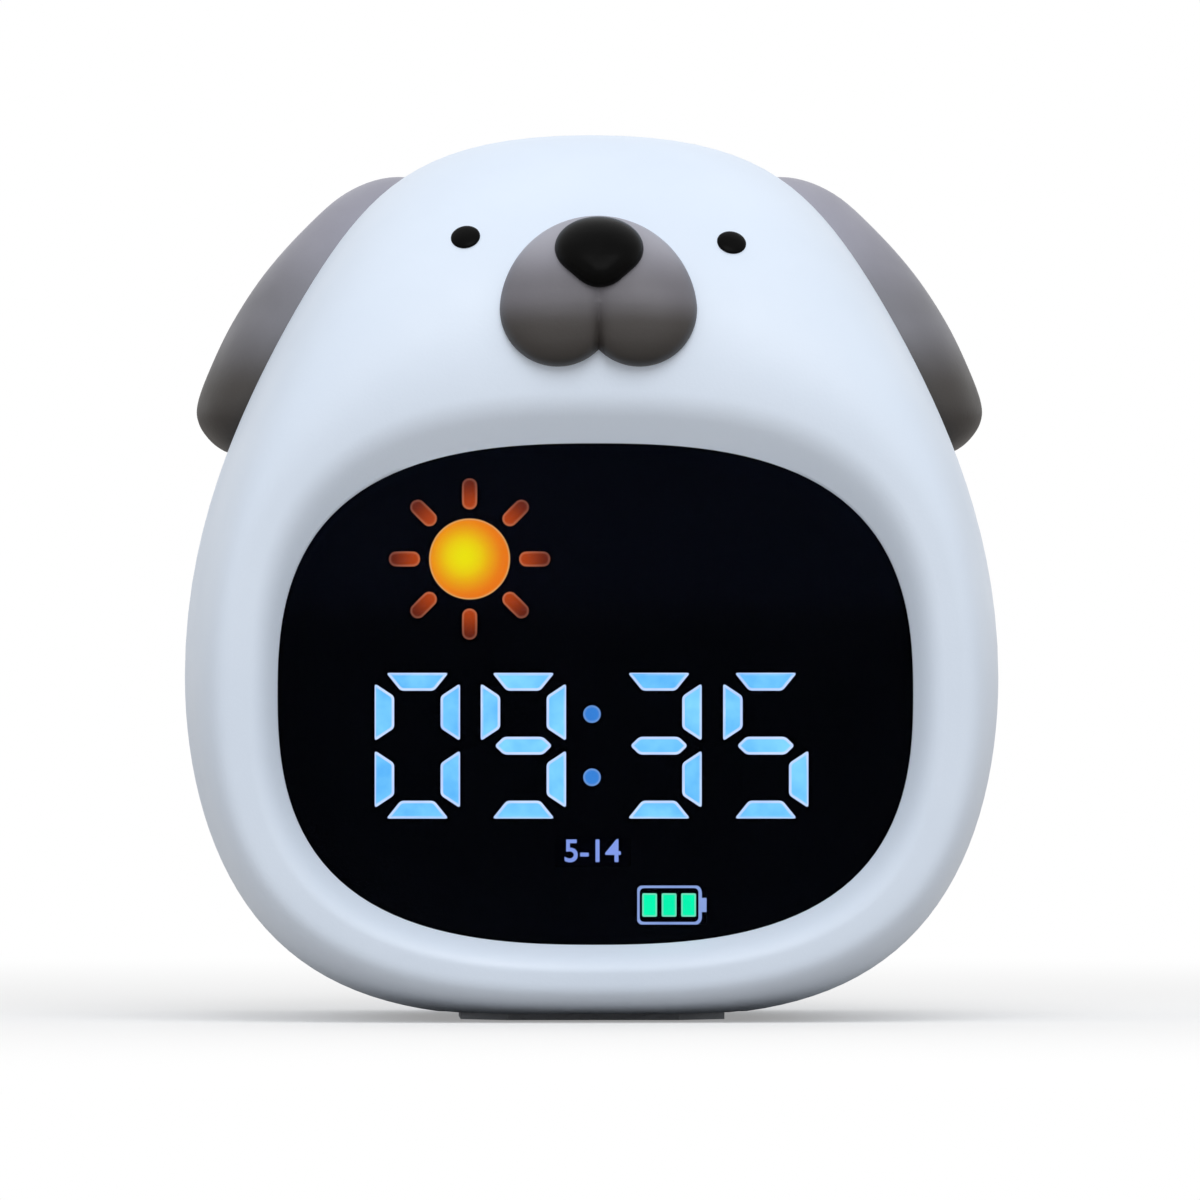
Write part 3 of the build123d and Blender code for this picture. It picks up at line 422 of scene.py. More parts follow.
# the brighter and the dimmer colour, then strength and patches where they aren't plain
lit = {
    "litBlue": ((0.27, 0.75, 0.98), (0.13, 0.52, 0.95), 1.4, 230),
    "litEdge": ((0.66, 0.77, 0.98), (0.48, 0.63, 0.96), 1.5),
    "litColon": ((0.048, 0.25, 0.68), (0.036, 0.20, 0.58)),
    "litColonEdge": ((0.16, 0.32, 0.66), (0.12, 0.27, 0.58)),
    "litDate": ((0.26, 0.36, 0.78), (0.22, 0.31, 0.70)),
    "litGreen": ((0.002, 1.0, 0.42), (0.002, 0.86, 0.36), 1.5),
    "litGreenEdge": ((0.20, 0.82, 0.50), (0.16, 0.70, 0.42)),
    "litFrame": ((0.30, 0.40, 0.70), (0.24, 0.33, 0.62)),
}
finishes = {name: makeFinish(name, *values) for name, values in moulded.items()}
finishes |= {name: makePaintedShade(name, *values) for name, values in paintedShadeGreys.items()}
finishes |= {name: makeLit(name, *values) for name, values in lit.items()}

glass = {"colour": (0.62, 0.66, 0.74, 1), "index": 1.1, "gleam": (0.35, 0.5, 1.0, 1), "rubScale": 40,
         "roughest": 0.03}
finishes["lensGlass"], tree, shader = newMaterial("lensGlass")
setInputs(shader, {"Base Color": glass["colour"], "Transmission Weight": 1.0, "IOR": glass["index"],
                   "Specular Tint": glass["gleam"]})
place = addNode(tree, "TexCoord")
noise = addNode(tree, "TexNoise", {"Scale": glass["rubScale"]})
rub = addNode(tree, "MapRange", {"To Min": 0.0, "To Max": glass["roughest"]})
wire(tree, (place, "Object", noise, "Vector"), (noise, "Fac", rub, "Value"),
     (rub, "Result", shader, "Roughness"))
print("materials ready")


# the head's skin has the solid model's sections, drawn finely, round a deeper and wider lip
head = {
    "frontY": -39.4, "domeY": -2.4, "backY": 42.0, "seamY": 25.0,
    "halfWidth": 52.5, "top": 114.0, "waist": 44.0,
    "rimHalf": 46.0, "rimTop": 81.1, "rimBottom": 5.6, "rimFullness": 0.55,
    "panelHalf": 42.0, "panelTop": 96.0, "panelBottom": 8.0,
    "windowHalf": 40.75, "windowTop": 74.3, "windowBottom": 10.0,
    "lipDepth": 3.9, "lipSide": 4.0, "lipTop": 6.7, "lipBottom": 3.7, "lipEase": 0.82, "browEase": 0.5,
    "lipRings": 20, "lipCrowding": 1.8, "glassSeatY": -35.2, "cavityY": -34.2, "pocketMargin": 1.95,
    "wall": 2.2, "floor": 1.0, "seamGroove": 0.3, "quarterColumns": 36,
    # turns of the sections: -90 in the plane of the window, 0 where the head is widest, 90 in the panel
    "rimTurns": [-90, -89.7, -89, -88, -86.5, -84.5, -82, -79], "skinFrom": -76, "skinStep": 3,
    "hollowStep": 9,
}
# quarters of a section, as curves from the middle of the top or bottom to the side
crownCurve = [(0, 1), (0.714, 1), (0.514, 0.746), (1, 0.556), (1, 0)]
jawCurve = [(0, 1), (0.456, 1), (0.852, 1.011), (1, 0.445), (1, 0)]
paneCurve = [(0, 1), (0.384, 1), (0.977, 0.977), (1, 0.384), (1, 0)]


def curvePoint(points, t):
    while len(points) > 1:
        points = [(a[0] + (b[0] - a[0]) * t, a[1] + (b[1] - a[1]) * t) for a, b in zip(points, points[1:])]
    return points[0]


def sectionRing(y, half, top, bottom, blend, low=None):
    # a section between the window's form, at a blend of 0, and the head's own, at 1, flat underneath
    windowMiddle = (head["windowTop"] + head["windowBottom"]) / 2
    waist = windowMiddle + (head["waist"] - windowMiddle) * blend
    count = head["quarterColumns"]
    upper, lower = [], []
    for shape, edge, quarter in ((crownCurve, top, upper), (jawCurve, bottom, lower)):
        mixed = [(s[0] * blend + p[0] * (1 - blend), s[1] * blend + p[1] * (1 - blend))
                 for s, p in zip(shape, paneCurve)]
        for step in range(count + 1):
            x, z = curvePoint(mixed, step / count)
            quarter.append((x * half, waist + z * (edge - waist)))
    loop = upper[:-1] + lower[::-1][:-1]
    loop += [(-x, z) for x, z in lower[:-1]] + [(-x, z) for x, z in upper[::-1][:-1]]
    low = head["floor"] if low is None else low
    return [(x, y, max(z, low)) for x, z in loop]


def skinRing(turn, inset, low=None):
    swell = math.cos(math.radians(turn)) if abs(turn) < 90 else 0
    if turn < 0:
        reach, half = head["domeY"] - head["frontY"], head["rimHalf"]
        top, bottom = head["rimTop"], head["rimBottom"]
        blend, fullness = swell, head["rimFullness"]
    else:
        reach, half = head["backY"] - head["domeY"], head["panelHalf"]
        top, bottom = head["panelTop"], head["panelBottom"]
        blend, fullness = 1, 1
    return sectionRing(
        head["domeY"] + (reach - inset) * math.sin(math.radians(turn)),
        half + (head["halfWidth"] - inset - half) * swell**fullness,
        top + (head["top"] - inset - top) * swell,
        bottom + (inset - bottom) * swell**fullness,
        blend, low)


def turnAt(y, inset):
    front = y < head["domeY"]
    reach = (head["domeY"] - head["frontY"] if front else head["backY"] - head["domeY"]) - inset
    return math.degrees(math.asin(max(-1, min(1, (y - head["domeY"]) / reach))))


def steps(first, last, size):
    count = max(1, math.ceil(abs(last - first) / size))
    return [first + (last - first) * step / count for step in range(count + 1)]


def paneRing(y, margin):
    return sectionRing(y, head["windowHalf"] + margin, head["windowTop"] + margin,
                       head["windowBottom"] - margin, 0)


def lipSpread(fall, width, ease):
    # how far outside the window the lip is at a depth below the front plane: eased, then straight
    slope = head["lipDepth"] / (width * (1 - ease / 2))
    if fall < slope * width * ease / 2:
        return width - math.sqrt(2 * width * ease * fall / slope)
    return width * (1 - ease / 2) - fall / slope


def buildHeadFront():
    rings = [paneRing(head["glassSeatY"], 0)]
    for step in range(head["lipRings"], -1, -1):
        fall = head["lipDepth"] * (step / head["lipRings"]) ** head["lipCrowding"]
        rings.append(sectionRing(
            head["frontY"] + fall,
            head["windowHalf"] + lipSpread(fall, head["lipSide"], head["lipEase"]),
            head["windowTop"] + lipSpread(fall, head["lipTop"], head["browEase"]),
            head["windowBottom"] - lipSpread(fall, head["lipBottom"], head["lipEase"]), 0))
    seamTurn = turnAt(head["seamY"] - head["seamGroove"], 0)
    for turn in head["rimTurns"] + steps(head["skinFrom"], seamTurn, head["skinStep"]):
        rings.append(skinRing(turn, 0))
    rings.append(skinRing(turnAt(head["seamY"], head["seamGroove"]), head["seamGroove"]))
    floor = head["floor"] + head["wall"]
    insideTurns = turnAt(head["seamY"], head["wall"]), turnAt(head["cavityY"], head["wall"])
    for turn in steps(*insideTurns, head["hollowStep"]):
        rings.append(skinRing(turn, head["wall"], floor))
    rings.append(paneRing(head["cavityY"], head["pocketMargin"]))
    rings.append(paneRing(head["glassSeatY"], head["pocketMargin"]))
    return ringPiece(rings, closed=True)


headFront = buildHeadFront()
finishPiece(headFront, "headFront", "shellWhite", replaced=["front_shell"], smooth=50)
headTree = BVHTree.FromObject(headFront, bpy.context.evaluated_depsgraph_get())
print("head front ready")


def buildHeadBack():
    outer = [skinRing(turnAt(head["seamY"], head["seamGroove"]), head["seamGroove"])]
    for turn in steps(turnAt(head["seamY"] + head["seamGroove"], 0), 90, head["skinStep"]):
        outer.append(skinRing(turn, 0))
    floor = head["floor"] + head["wall"]
    inner = [skinRing(turn, head["wall"], floor)
             for turn in steps(90, turnAt(head["seamY"], head["wall"]), head["hollowStep"])]
    # from the middle of the panel's inside, round the seam, to the middle of its outside
    middle = (head["panelTop"] + head["panelBottom"]) / 2
    innerCentre = [(0, inner[0][0][1], middle)] * len(outer[0])
    outerCentre = [(0, outer[-1][0][1], middle)] * len(outer[0])
    return ringPiece([innerCentre] + inner + outer + [outerCentre])


back = {
    "screwPoints": [(33, 25), (-33, 25), (22, 84), (-22, 84)],
    "towerSize": 8.8, "towerY": 32.6, "towerDepth": 15.1,
    "wellRadius": 3.0, "wellFloorY": 27.4, "wellDepth": 20, "screwHole": 1.3, "screwHoleDepth": 6,
    "buttonPoints": [(-24, 56), (-8, 56), (8, 56), (24, 56)], "buttonHole": 4.15,
    "sliderZ": 70, "sliderSlot": (8.2, 3.6), "usbZ": 19, "usbSlot": (9.4, 3.7), "cutDepth": 8,
    "grilleZ": 36, "grilleRadius": 11.5, "grilleSlot": 2.0, "grillePitch": 4.6, "grilleRows": 5,
}

headBack = buildHeadBack()
for x, z in back["screwPoints"]:
    tower = block(x, back["towerY"], z, back["towerSize"], back["towerDepth"], back["towerSize"])
    boolean(headBack, tower, "UNION")
cutters = []
for x, z in back["screwPoints"]:
    wellY = back["wellFloorY"] + back["wellDepth"] / 2
    cutters.append(rod(x, z, back["wellRadius"], back["wellDepth"], wellY, 48))
    cutters.append(rod(x, z, back["screwHole"], back["screwHoleDepth"], back["wellFloorY"], 24))
for x, z in back["buttonPoints"]:
    cutters.append(rod(x, z, back["buttonHole"], back["cutDepth"], head["backY"], 56))
slotLong, slotHigh = back["sliderSlot"]
cutters.append(block(0, head["backY"], back["sliderZ"], slotLong, back["cutDepth"], slotHigh))
for row in range(back["grilleRows"]):
    rise = back["grillePitch"] * (row - (back["grilleRows"] - 1) / 2)
    length = 2 * math.sqrt(back["grilleRadius"] ** 2 - rise**2)
    cutters.append(roundBar(0, back["grilleZ"] + rise, length, back["grilleSlot"], back["cutDepth"],
                            head["backY"], sides=24))
cutters.append(roundBar(0, back["usbZ"], *back["usbSlot"], back["cutDepth"], head["backY"], sides=32))
boolean(headBack, joinAll(cutters))
finishPiece(headBack, "headBack", "shellWhite", replaced=["rear_shell"])
print("head back ready")


# the face stands on the skin, and each piece has its solid's outline, set a little off its place
face = {"lookFrom": -60, "frontLimit": -42.98, "searchRounds": 16, "hollow": 0.5}


def inFront(x, z):
    # a look straight rearwards at a point of the face
    return Vector((x, face["lookFrom"], z)) * mm, Vector((0, 1, 0))


def skinY(x, z):
    hit = headTree.ray_cast(*inFront(x, z))[0]
    return hit.y / mm if hit else head["domeY"]


def seenNode(name):
    # whether a solid is met straight behind a point of the face
    tree = BVHTree.FromObject(nodes[name], bpy.context.evaluated_depsgraph_get())
    return lambda x, z: tree.ray_cast(*inFront(x, z))[0] is not None


def turns(count):
    # a full turn in equal steps
    return [2 * math.pi * step / count for step in range(count)]


def outlineOf(inside, centre, columns, most):
    # how far an outline reaches from a point of the face in each direction
    outline = []
    for angle in turns(columns):
        near, far = 0.0, most
        for _ in range(face["searchRounds"]):
            middle = (near + far) / 2
            if inside(centre[0] + middle * math.cos(angle), centre[1] + middle * math.sin(angle)):
                near = middle
            else:
                far = middle
        outline.append(near)
    return outline


def domePiece(outline, centre, height, rows=28, sink=1.2):
    # a dome on the skin: height(x, z, share) is how far it stands off the skin
    columns = len(outline)
    rings = [[(*centre, 0)] * columns]
    for row in range(1, rows + 1):
        share = math.sin(math.pi / 2 * row / rows)
        ring = []
        for angle, reach in zip(turns(columns), outline):
            ring.append((centre[0] + reach * share * math.cos(angle),
                         centre[1] + reach * share * math.sin(angle), share))
        rings.append(ring)
    raised = [[(x, max(face["frontLimit"], skinY(x, z) - height(x, z, share)), z) for x, z, share in ring]
              for ring in rings]
    sunk = [(x, y + sink, z) for x, y, z in raised[-1]]
    sunkCentre = [(centre[0], max(y for x, y, z in sunk) + face["hollow"], centre[1])] * columns
    return ringPiece(raised + [sunk, sunkCentre])


muzzle = {
    "centre": (0, 92.6), "place": (0.35, 92.6), "radius": 12.7, "middle": 90.8,
    "lobeRadius": 7.4, "lobeSpread": 5.25, "lobeMiddle": 91.53, "height": 5.9, "crown": 2.1, "front": -42.9,
    "grooveDepth": 1.3, "grooveWidth": 0.8, "grooveRound": 1.4, "grooveTop": 94.5, "grooveFade": 0.9,
    "grooveStart": 0.4, "grooveEnd": 0.25,
    "columns": 144, "rows": 40,
}


def inMuzzle(x, z):
    # in a lobe, or in the round top between the lines from its middle to the lobes
    spread, rise = muzzle["lobeSpread"], muzzle["lobeMiddle"] - muzzle["middle"]
    lobe = math.hypot(abs(x) - spread, z - muzzle["lobeMiddle"]) < muzzle["lobeRadius"]
    lean = (z - muzzle["middle"]) * spread > abs(x) * rise
    return lobe or (lean and math.hypot(x, z - muzzle["middle"]) < muzzle["radius"])


def muzzleHeight(x, z, share):
    # full in the middle, rounded to the edge, and clear of the front plane; a groove below the nose
    # deepens on its way out and runs out at the edge
    full = muzzle["height"] * (1 - share ** muzzle["crown"]) ** 0.5
    room = skinY(x, z) - muzzle["front"]
    start = muzzle["grooveStart"]
    below = 1 / (1 + math.exp((z - muzzle["grooveTop"]) / muzzle["grooveFade"]))
    across = abs((x - muzzle["place"][0]) / muzzle["grooveWidth"])
    fall = below * (1 - share) ** muzzle["grooveEnd"] * (start + (1 - start) * share)
    groove = muzzle["grooveDepth"] * fall * math.exp(-across ** muzzle["grooveRound"])
    return room * math.tanh(full / room) - groove


muzzleOutline = outlineOf(inMuzzle, muzzle["centre"], muzzle["columns"], most=25)
muzzleDome = domePiece(muzzleOutline, muzzle["place"], muzzleHeight, muzzle["rows"])
finishPiece(muzzleDome, "muzzleDome", "muzzleGrey", replaced=["muzzle"], smooth=60)

nose = {"centre": (0, 98.6), "place": (0.45, 98.7), "height": 7.6, "base": 3.6, "sink": 3.4, "columns": 96}


def noseHeight(x, z, share):
    return nose["base"] + (nose["height"] - nose["base"]) * (1 - share**3) ** 0.5


noseOutline = outlineOf(seenNode("nose"), nose["centre"], nose["columns"], most=15)
nosePad = domePiece(noseOutline, nose["place"], noseHeight, sink=nose["sink"])
finishPiece(nosePad, "nosePad", "noseBlack", replaced=["nose"], smooth=60)

eyes = {"x": 17.2, "z": 100.5, "height": 0.7, "sink": 1.0, "columns": 48, "rows": 12,
        "rightMoved": (0.35, -0.45), "leftMoved": (0.6, 0.25)}


def eyeHeight(x, z, share):
    return eyes["height"] * (1 - share**2) ** 0.5


for side, name, node, moved in ((1, "eyeRight", "eye_right", eyes["rightMoved"]),
                                (-1, "eyeLeft", "eye_left", eyes["leftMoved"])):
    outline = outlineOf(seenNode(node), (side * eyes["x"], eyes["z"]), eyes["columns"], most=5)
    eye = domePiece(outline, (side * eyes["x"] + moved[0], eyes["z"] + moved[1]), eyeHeight,
                    eyes["rows"], eyes["sink"])
    finishPiece(eye, name, "noseBlack", replaced=[node], smooth=60)
print("face ready")


# the ears have rounded sections across the flap, from the root over the crown down to the tip
ear = {
    "y": 10.0, "columns": 64, "between": 6, "round": 0.86, "thinnest": 0.05,
    # outer edge, inner edge inside the head, half thickness
    "sections": [
        ((19.0, 108.1), (17.0, 102.0), 6.5), ((25.9, 108.6), (20.0, 99.0), 7.6),
        ((31.65, 106.5), (23.5, 95.0), 8.6), ((36.95, 101.9), (26.5, 91.0), 9.6),
        ((42.1, 96.1), (29.8, 87.0), 10.7), ((46.25, 89.8), (33.0, 83.0), 11.7),
        ((49.2, 83.7), (36.0, 79.5), 12.2), ((50.8, 79.2), (38.2, 77.0), 12.0),
        ((50.6, 76.6), (40.0, 75.2), 10.8), ((49.1, 74.4), (42.0, 73.6), 8.4),
        ((47.3, 73.1), (44.1, 72.8), 4.6), ((45.9, 72.8), (45.6, 72.7), 0.3),
    ],
}


def smoothBetween(rows, between):
    # a smooth curve through rows of numbers, with more rows between them
    path = []
    for index in range(len(rows) - 1):
        p0, p1 = rows[max(index - 1, 0)], rows[index]
        p2, p3 = rows[index + 1], rows[min(index + 2, len(rows) - 1)]
        for step in range(between):
            t = step / between
            path.append([0.5 * (2 * b + (c - a) * t + (2 * a - 5 * b + 4 * c - d) * t * t
                                + (3 * b - a - 3 * c + d) * t**3) for a, b, c, d in zip(p0, p1, p2, p3)])
    path.append(list(rows[-1]))
    return path


def buildEar(side):
    rings = []
    sections = [(*outer, *inner, depth) for outer, inner, depth in ear["sections"]]
    for outX, outZ, inX, inZ, depth in smoothBetween(sections, ear["between"]):
        ring = []
        for angle in turns(ear["columns"]):
            c, s = math.cos(angle), math.sin(angle)
            across = 0.5 + 0.5 * math.copysign(abs(c) ** ear["round"], c)
            ring.append((side * (inX + (outX - inX) * across),
                         ear["y"] + max(depth, ear["thinnest"]) * math.copysign(abs(s) ** ear["round"], s),
                         inZ + (outZ - inZ) * across))
        rings.append(ring)
    piece = ringPiece(rings)
    capEnds(piece)
    return piece


for side, name, node in ((1, "earRight", "ear_right"), (-1, "earLeft", "ear_left")):
    finishPiece(buildEar(side), name, "earGrey", replaced=[node], smooth=60)
print("ears ready")


# the display behind the glass: lit signs that stand in windows of a black film
display = {
    "frontY": -32.54, "depth": 3.0, "columns": (-22.8, -9.2, 8.2, 21.9), "middle": 35.5, "time": "0935",
    "width": 10.95, "height": 18.7, "stroke": 2.3, "barLong": 8.0, "barShort": 4.3,
    "middleLong": 7.4, "middleShort": 5.0, "postStroke": 2.5, "postDrop": 1.35, "postRise": 0.6,
    "postTaper": 1.65, "border": 0.33, "corner": 0.38, "cornerSegments": 3,
    "filmY": -32.86, "filmThickness": 0.3, "filmMargin": 1.6, "cutForward": 1.2,
    "plateSunk": 0.5, "plateEdge": 0.3,
}
signFront, signDepth = display["frontY"], display["depth"]
signY = signFront + signDepth / 2  # the middle of a sign
litBars = {"0": "abcdef", "3": "abcdg", "5": "acdfg", "9": "abcdfg"}


def barOutlines():
    halfWidth, halfHeight, stroke = display["width"] / 2, display["height"] / 2, display["stroke"]
    innerWidth = halfWidth - display["postStroke"]
    barLong, barShort = display["barLong"] / 2, display["barShort"] / 2
    middleLong, middleShort = display["middleLong"] / 2, display["middleShort"] / 2
    topBar = [(-barLong, halfHeight), (barLong, halfHeight),
              (barShort, halfHeight - stroke), (-barShort, halfHeight - stroke)]
    post = [(halfWidth, halfHeight - display["postDrop"]), (halfWidth, display["postRise"]),
            (innerWidth, display["postRise"] + display["postTaper"]),
            (innerWidth, halfHeight - display["postDrop"] - display["postTaper"])]
    middleBar = [(middleLong, 0), (middleShort, stroke / 2), (-middleShort, stroke / 2),
                 (-middleLong, 0), (-middleShort, -stroke / 2), (middleShort, -stroke / 2)]
    return {
        "a": topBar, "d": [(x, -z) for x, z in topBar], "g": middleBar,
        "b": post, "c": [(x, -z) for x, z in post],
        "f": [(-x, z) for x, z in post], "e": [(-x, -z) for x, z in post],
    }


def roundCorners(obj, radius):
    # the corners of a flat outline, before it is drawn out
    pick(obj)
    bevel = obj.modifiers.new("corners", "BEVEL")
    bevel.affect = "VERTICES"
    bevel.width = radius * mm
    bevel.segments = display["cornerSegments"]
    bpy.ops.object.modifier_apply(modifier="corners")


def litShape(obj, edge, fill, border):
    # the front gets a paler border round its fill
    dress(obj, edge, fill)
    insetFront(obj, border)
    return obj


filmCutters = []


def throughFilm(obj):
    # a copy of a sign, moved forwards, that will cut its window in the film
    pick(obj)
    bpy.ops.object.duplicate(linked=False)
    copy = bpy.context.object
    editAll(copy)
    bpy.ops.transform.translate(value=(0, -display["cutForward"] * mm, 0))
    setMode("OBJECT")
    filmCutters.append(copy)


litPieces, darkPieces = [], []
for digit, column in zip(display["time"], display["columns"]):
    for bar, outline in barOutlines().items():
        piece = flatOutline([(column + x, display["middle"] + z) for x, z in outline], signFront)
        roundCorners(piece, display["corner"])
        drawnOut(piece, signDepth)
        if bar in litBars[digit]:
            litPieces.append(litShape(piece, "litEdge", "litBlue", display["border"]))
        else:
            darkPieces.append(piece)
throughFilm(finishPiece(joinAll(litPieces), "digitBars", None,
                        replaced=["digit_segments"], smooth=0))
throughFilm(finishPiece(joinAll(darkPieces), "digitBarsOff", "unlit", smooth=0))

colon = {"x": -0.4, "spread": 8.1, "radius": 1.13, "border": 0.25}
dots = []
for side in (1, -1):
    dotZ = display["middle"] + side * colon["spread"] / 2
    dot = rod(colon["x"], dotZ, colon["radius"], signDepth, signY)
    dots.append(litShape(dot, "litColonEdge", "litColon", colon["border"]))
throughFilm(finishPiece(joinAll(dots), "colonDots", None, replaced=["colon_dots"]))

sun = {"x": -16.1, "z": 59.45, "radius": 5.2, "border": 0.2, "glowMoved": (-0.7, 0.3), "glow": (0.4, 5.4),
       "edgeGlow": (4, 6), "rays": 8, "rayWidth": 1.95, "rayBorder": 0.25, "rayReach": (6.35, 10.35)}
sunPlace = (sun["x"], signFront, sun["z"])
glowPlace = (sun["x"] + sun["glowMoved"][0], signFront, sun["z"] + sun["glowMoved"][1])
glows = {
    "litSun": ((0.93, 0.80, 0.001), (0.90, 0.19, 0.006), glowPlace, *sun["glow"]),
    "litSunEdge": ((0.80, 0.40, 0.12), (0.78, 0.34, 0.10), sunPlace, *sun["edgeGlow"]),
    "litRay": ((0.46, 0.055, 0.006), (0.12, 0.014, 0.005), sunPlace, *sun["rayReach"]),
    "litRayEdge": ((0.54, 0.14, 0.05), (0.23, 0.07, 0.04), sunPlace, *sun["rayReach"]),
}
finishes |= {name: makeGlow(name, *values) for name, values in glows.items()}
disc = rod(sun["x"], sun["z"], sun["radius"], signDepth, signY, 72)
throughFilm(finishPiece(litShape(disc, "litSunEdge", "litSun", sun["border"]), "sunDisc", None,
                        replaced=["sun_icon"]))
rays = rayBars(sun["x"], sun["z"], *sun["rayReach"], sun["rayWidth"], signDepth, signY, sun["rays"], 32)
rays = [litShape(ray, "litRayEdge", "litRay", sun["rayBorder"]) for ray in rays]
throughFilm(finishPiece(joinAll(rays), "sunRays", None))

# the date in plain numbers
date = {"text": "5-14", "x": -0.35, "z": 21.85, "height": 2.95, "sizeOverHeight": 1.38, "bolder": 0.05,
        "plateWidth": 9.9, "plateHeight": 3.9}
deselectAll()
bpy.ops.object.text_add(location=(0, 0, 0))
dateText = bpy.context.object
dateText.data.body = date["text"]
dateText.data.size = date["height"] * date["sizeOverHeight"] * mm
dateText.data.align_x = "CENTER"
dateText.data.align_y = "CENTER"
dateText.data.extrude = signDepth / 2 * mm
dateText.data.offset = date["bolder"] * mm
bpy.ops.object.convert(target="MESH")
dateText = bpy.context.object
dateText.rotation_euler = (math.radians(90), 0, 0)
dateText.location = (date["x"] * mm, (display["filmY"] + signDepth / 2) * mm, date["z"] * mm)
finishPiece(dateText, "dateNumbers", "litDate", replaced=["date_window"])


def backing(name, x, z, width, height):
    # a dark plate that closes the light channel behind a sign
    sunk = display["plateSunk"]
    plate = block(x, signY + sunk / 2, z, width, signDepth - sunk, height)
    bevelEdges(plate, display["plateEdge"], 2)
    finishPiece(plate, name, "unlit")
    throughFilm(plate)


backing("dateBacking", date["x"], date["z"], date["plateWidth"], date["plateHeight"])

cell = {"x": 9.85, "z": 15.05, "width": 9.1, "height": 5.2, "line": 0.42, "corner": 1.0, "cutMargin": 1,
        "capWidth": 0.7, "capHeight": 1.8, "capSunk": 0.1, "plateInset": 0.1,
        "bars": 3, "barWidth": 1.9, "barHeight": 3.0, "barPitch": 2.5, "barCorner": 0.2, "barBorder": 0.2}


def roundedBox(x, z, width, height, corner, sides=6):
    points = []
    for cornerX, cornerZ, start in ((1, 1, 0), (-1, 1, 90), (-1, -1, 180), (1, -1, 270)):
        for step in range(sides + 1):
            angle = math.radians(start + 90 * step / sides)
            points.append((x + (cornerX * (width / 2 - corner) + corner * math.cos(angle)),
                           z + (cornerZ * (height / 2 - corner) + corner * math.sin(angle))))
    return points


caseWidth = cell["width"] - cell["capWidth"]
caseX = cell["x"] - cell["capWidth"] / 2
case = outlinePiece(roundedBox(caseX, cell["z"], caseWidth, cell["height"], cell["corner"]),
                    signFront, signDepth)
inside = outlinePiece(roundedBox(caseX, cell["z"], caseWidth - 2 * cell["line"],
                                 cell["height"] - 2 * cell["line"], cell["corner"] - cell["line"]),
                      signFront - cell["cutMargin"], signDepth + 2 * cell["cutMargin"])
boolean(case, inside)
capX = cell["x"] + cell["width"] / 2 - cell["capWidth"] / 2 - cell["capSunk"]
cap = block(capX, signY, cell["z"], cell["capWidth"] + 2 * cell["capSunk"], signDepth, cell["capHeight"])
finishPiece(joinAll([case, cap]), "batterySign", "litFrame", replaced=["battery_icon"])
bars = []
for index in range(cell["bars"]):
    barX = caseX + cell["barPitch"] * (index - (cell["bars"] - 1) / 2)
    bar = outlinePiece(roundedBox(barX, cell["z"], cell["barWidth"], cell["barHeight"], cell["barCorner"], 3),
                       signFront, signDepth)
    bars.append(litShape(bar, "litGreenEdge", "litGreen", cell["barBorder"]))
finishPiece(joinAll(bars), "batteryBars", None)
backing("batteryBacking", cell["x"], cell["z"], cell["width"] - 2 * cell["plateInset"],
        cell["height"] - 2 * cell["plateInset"])

filmOutline = [(x, z) for x, y, z in paneRing(0, display["filmMargin"])]
film = outlinePiece(filmOutline, display["filmY"], display["filmThickness"])
boolean(film, joinAll(filmCutters))
finishPiece(film, "windowFilm", "maskBlack", replaced=["display_mask"])
print("display ready")


# the keys on the back, each with a raised mark
keys = {"capBackY": 42.95, "capRadius": 4.0, "edge": 0.45,
        "flangeY": 39.7, "flange": 9.6, "flangeThickness": 1.0,
        "marks": {"mode": "ring", "minus": "minus", "plus": "plus", "light": "rays"}}
mark = {"backY": 43.0, "thickness": 0.12, "long": 3.4, "wide": 0.7, "ringInside": 1.1, "cutThrough": 2,
        "lampRadius": 0.8, "rays": 6, "rayReach": (1.25, 2.25), "rayWide": 0.4}
markY = mark["backY"] - mark["thickness"] / 2


def keyMark(kind, x, z):
    thick = mark["thickness"]
    if kind == "ring":
        sign = rod(x, z, mark["long"] / 2, thick, markY)
        boolean(sign, rod(x, z, mark["ringInside"], mark["cutThrough"], markY))
        return sign
    if kind == "rays":
        rays = rayBars(x, z, *mark["rayReach"], mark["rayWide"], thick, markY, mark["rays"], 16)
        return joinAll([rod(x, z, mark["lampRadius"], thick, markY, 32)] + rays)
    sign = roundBar(x, z, mark["long"], mark["wide"], thick, markY, sides=24)
    if kind == "plus":
        boolean(sign, roundBar(x, z, mark["long"], mark["wide"], thick, markY, 90, 24), "UNION")
    return sign


for (x, z), (use, kind) in zip(back["buttonPoints"], keys["marks"].items()):
    length = keys["capBackY"] - keys["flangeY"]
    cap = rod(x, z, keys["capRadius"], length, keys["flangeY"] + length / 2, 56)
    bevelEdges(cap, keys["edge"], 4)
    flange = block(x, keys["flangeY"] - keys["flangeThickness"] / 2, z,
                   keys["flange"], keys["flangeThickness"] - hair, keys["flange"])
    finishPiece(joinAll([cap, flange]), "key_" + use, "keyGrey",
                replaced=["button_" + use], smooth=35, body=use + "_button")
    finishPiece(keyMark(kind, x, z), "mark_" + use, "markWhite", body=use + "_button")

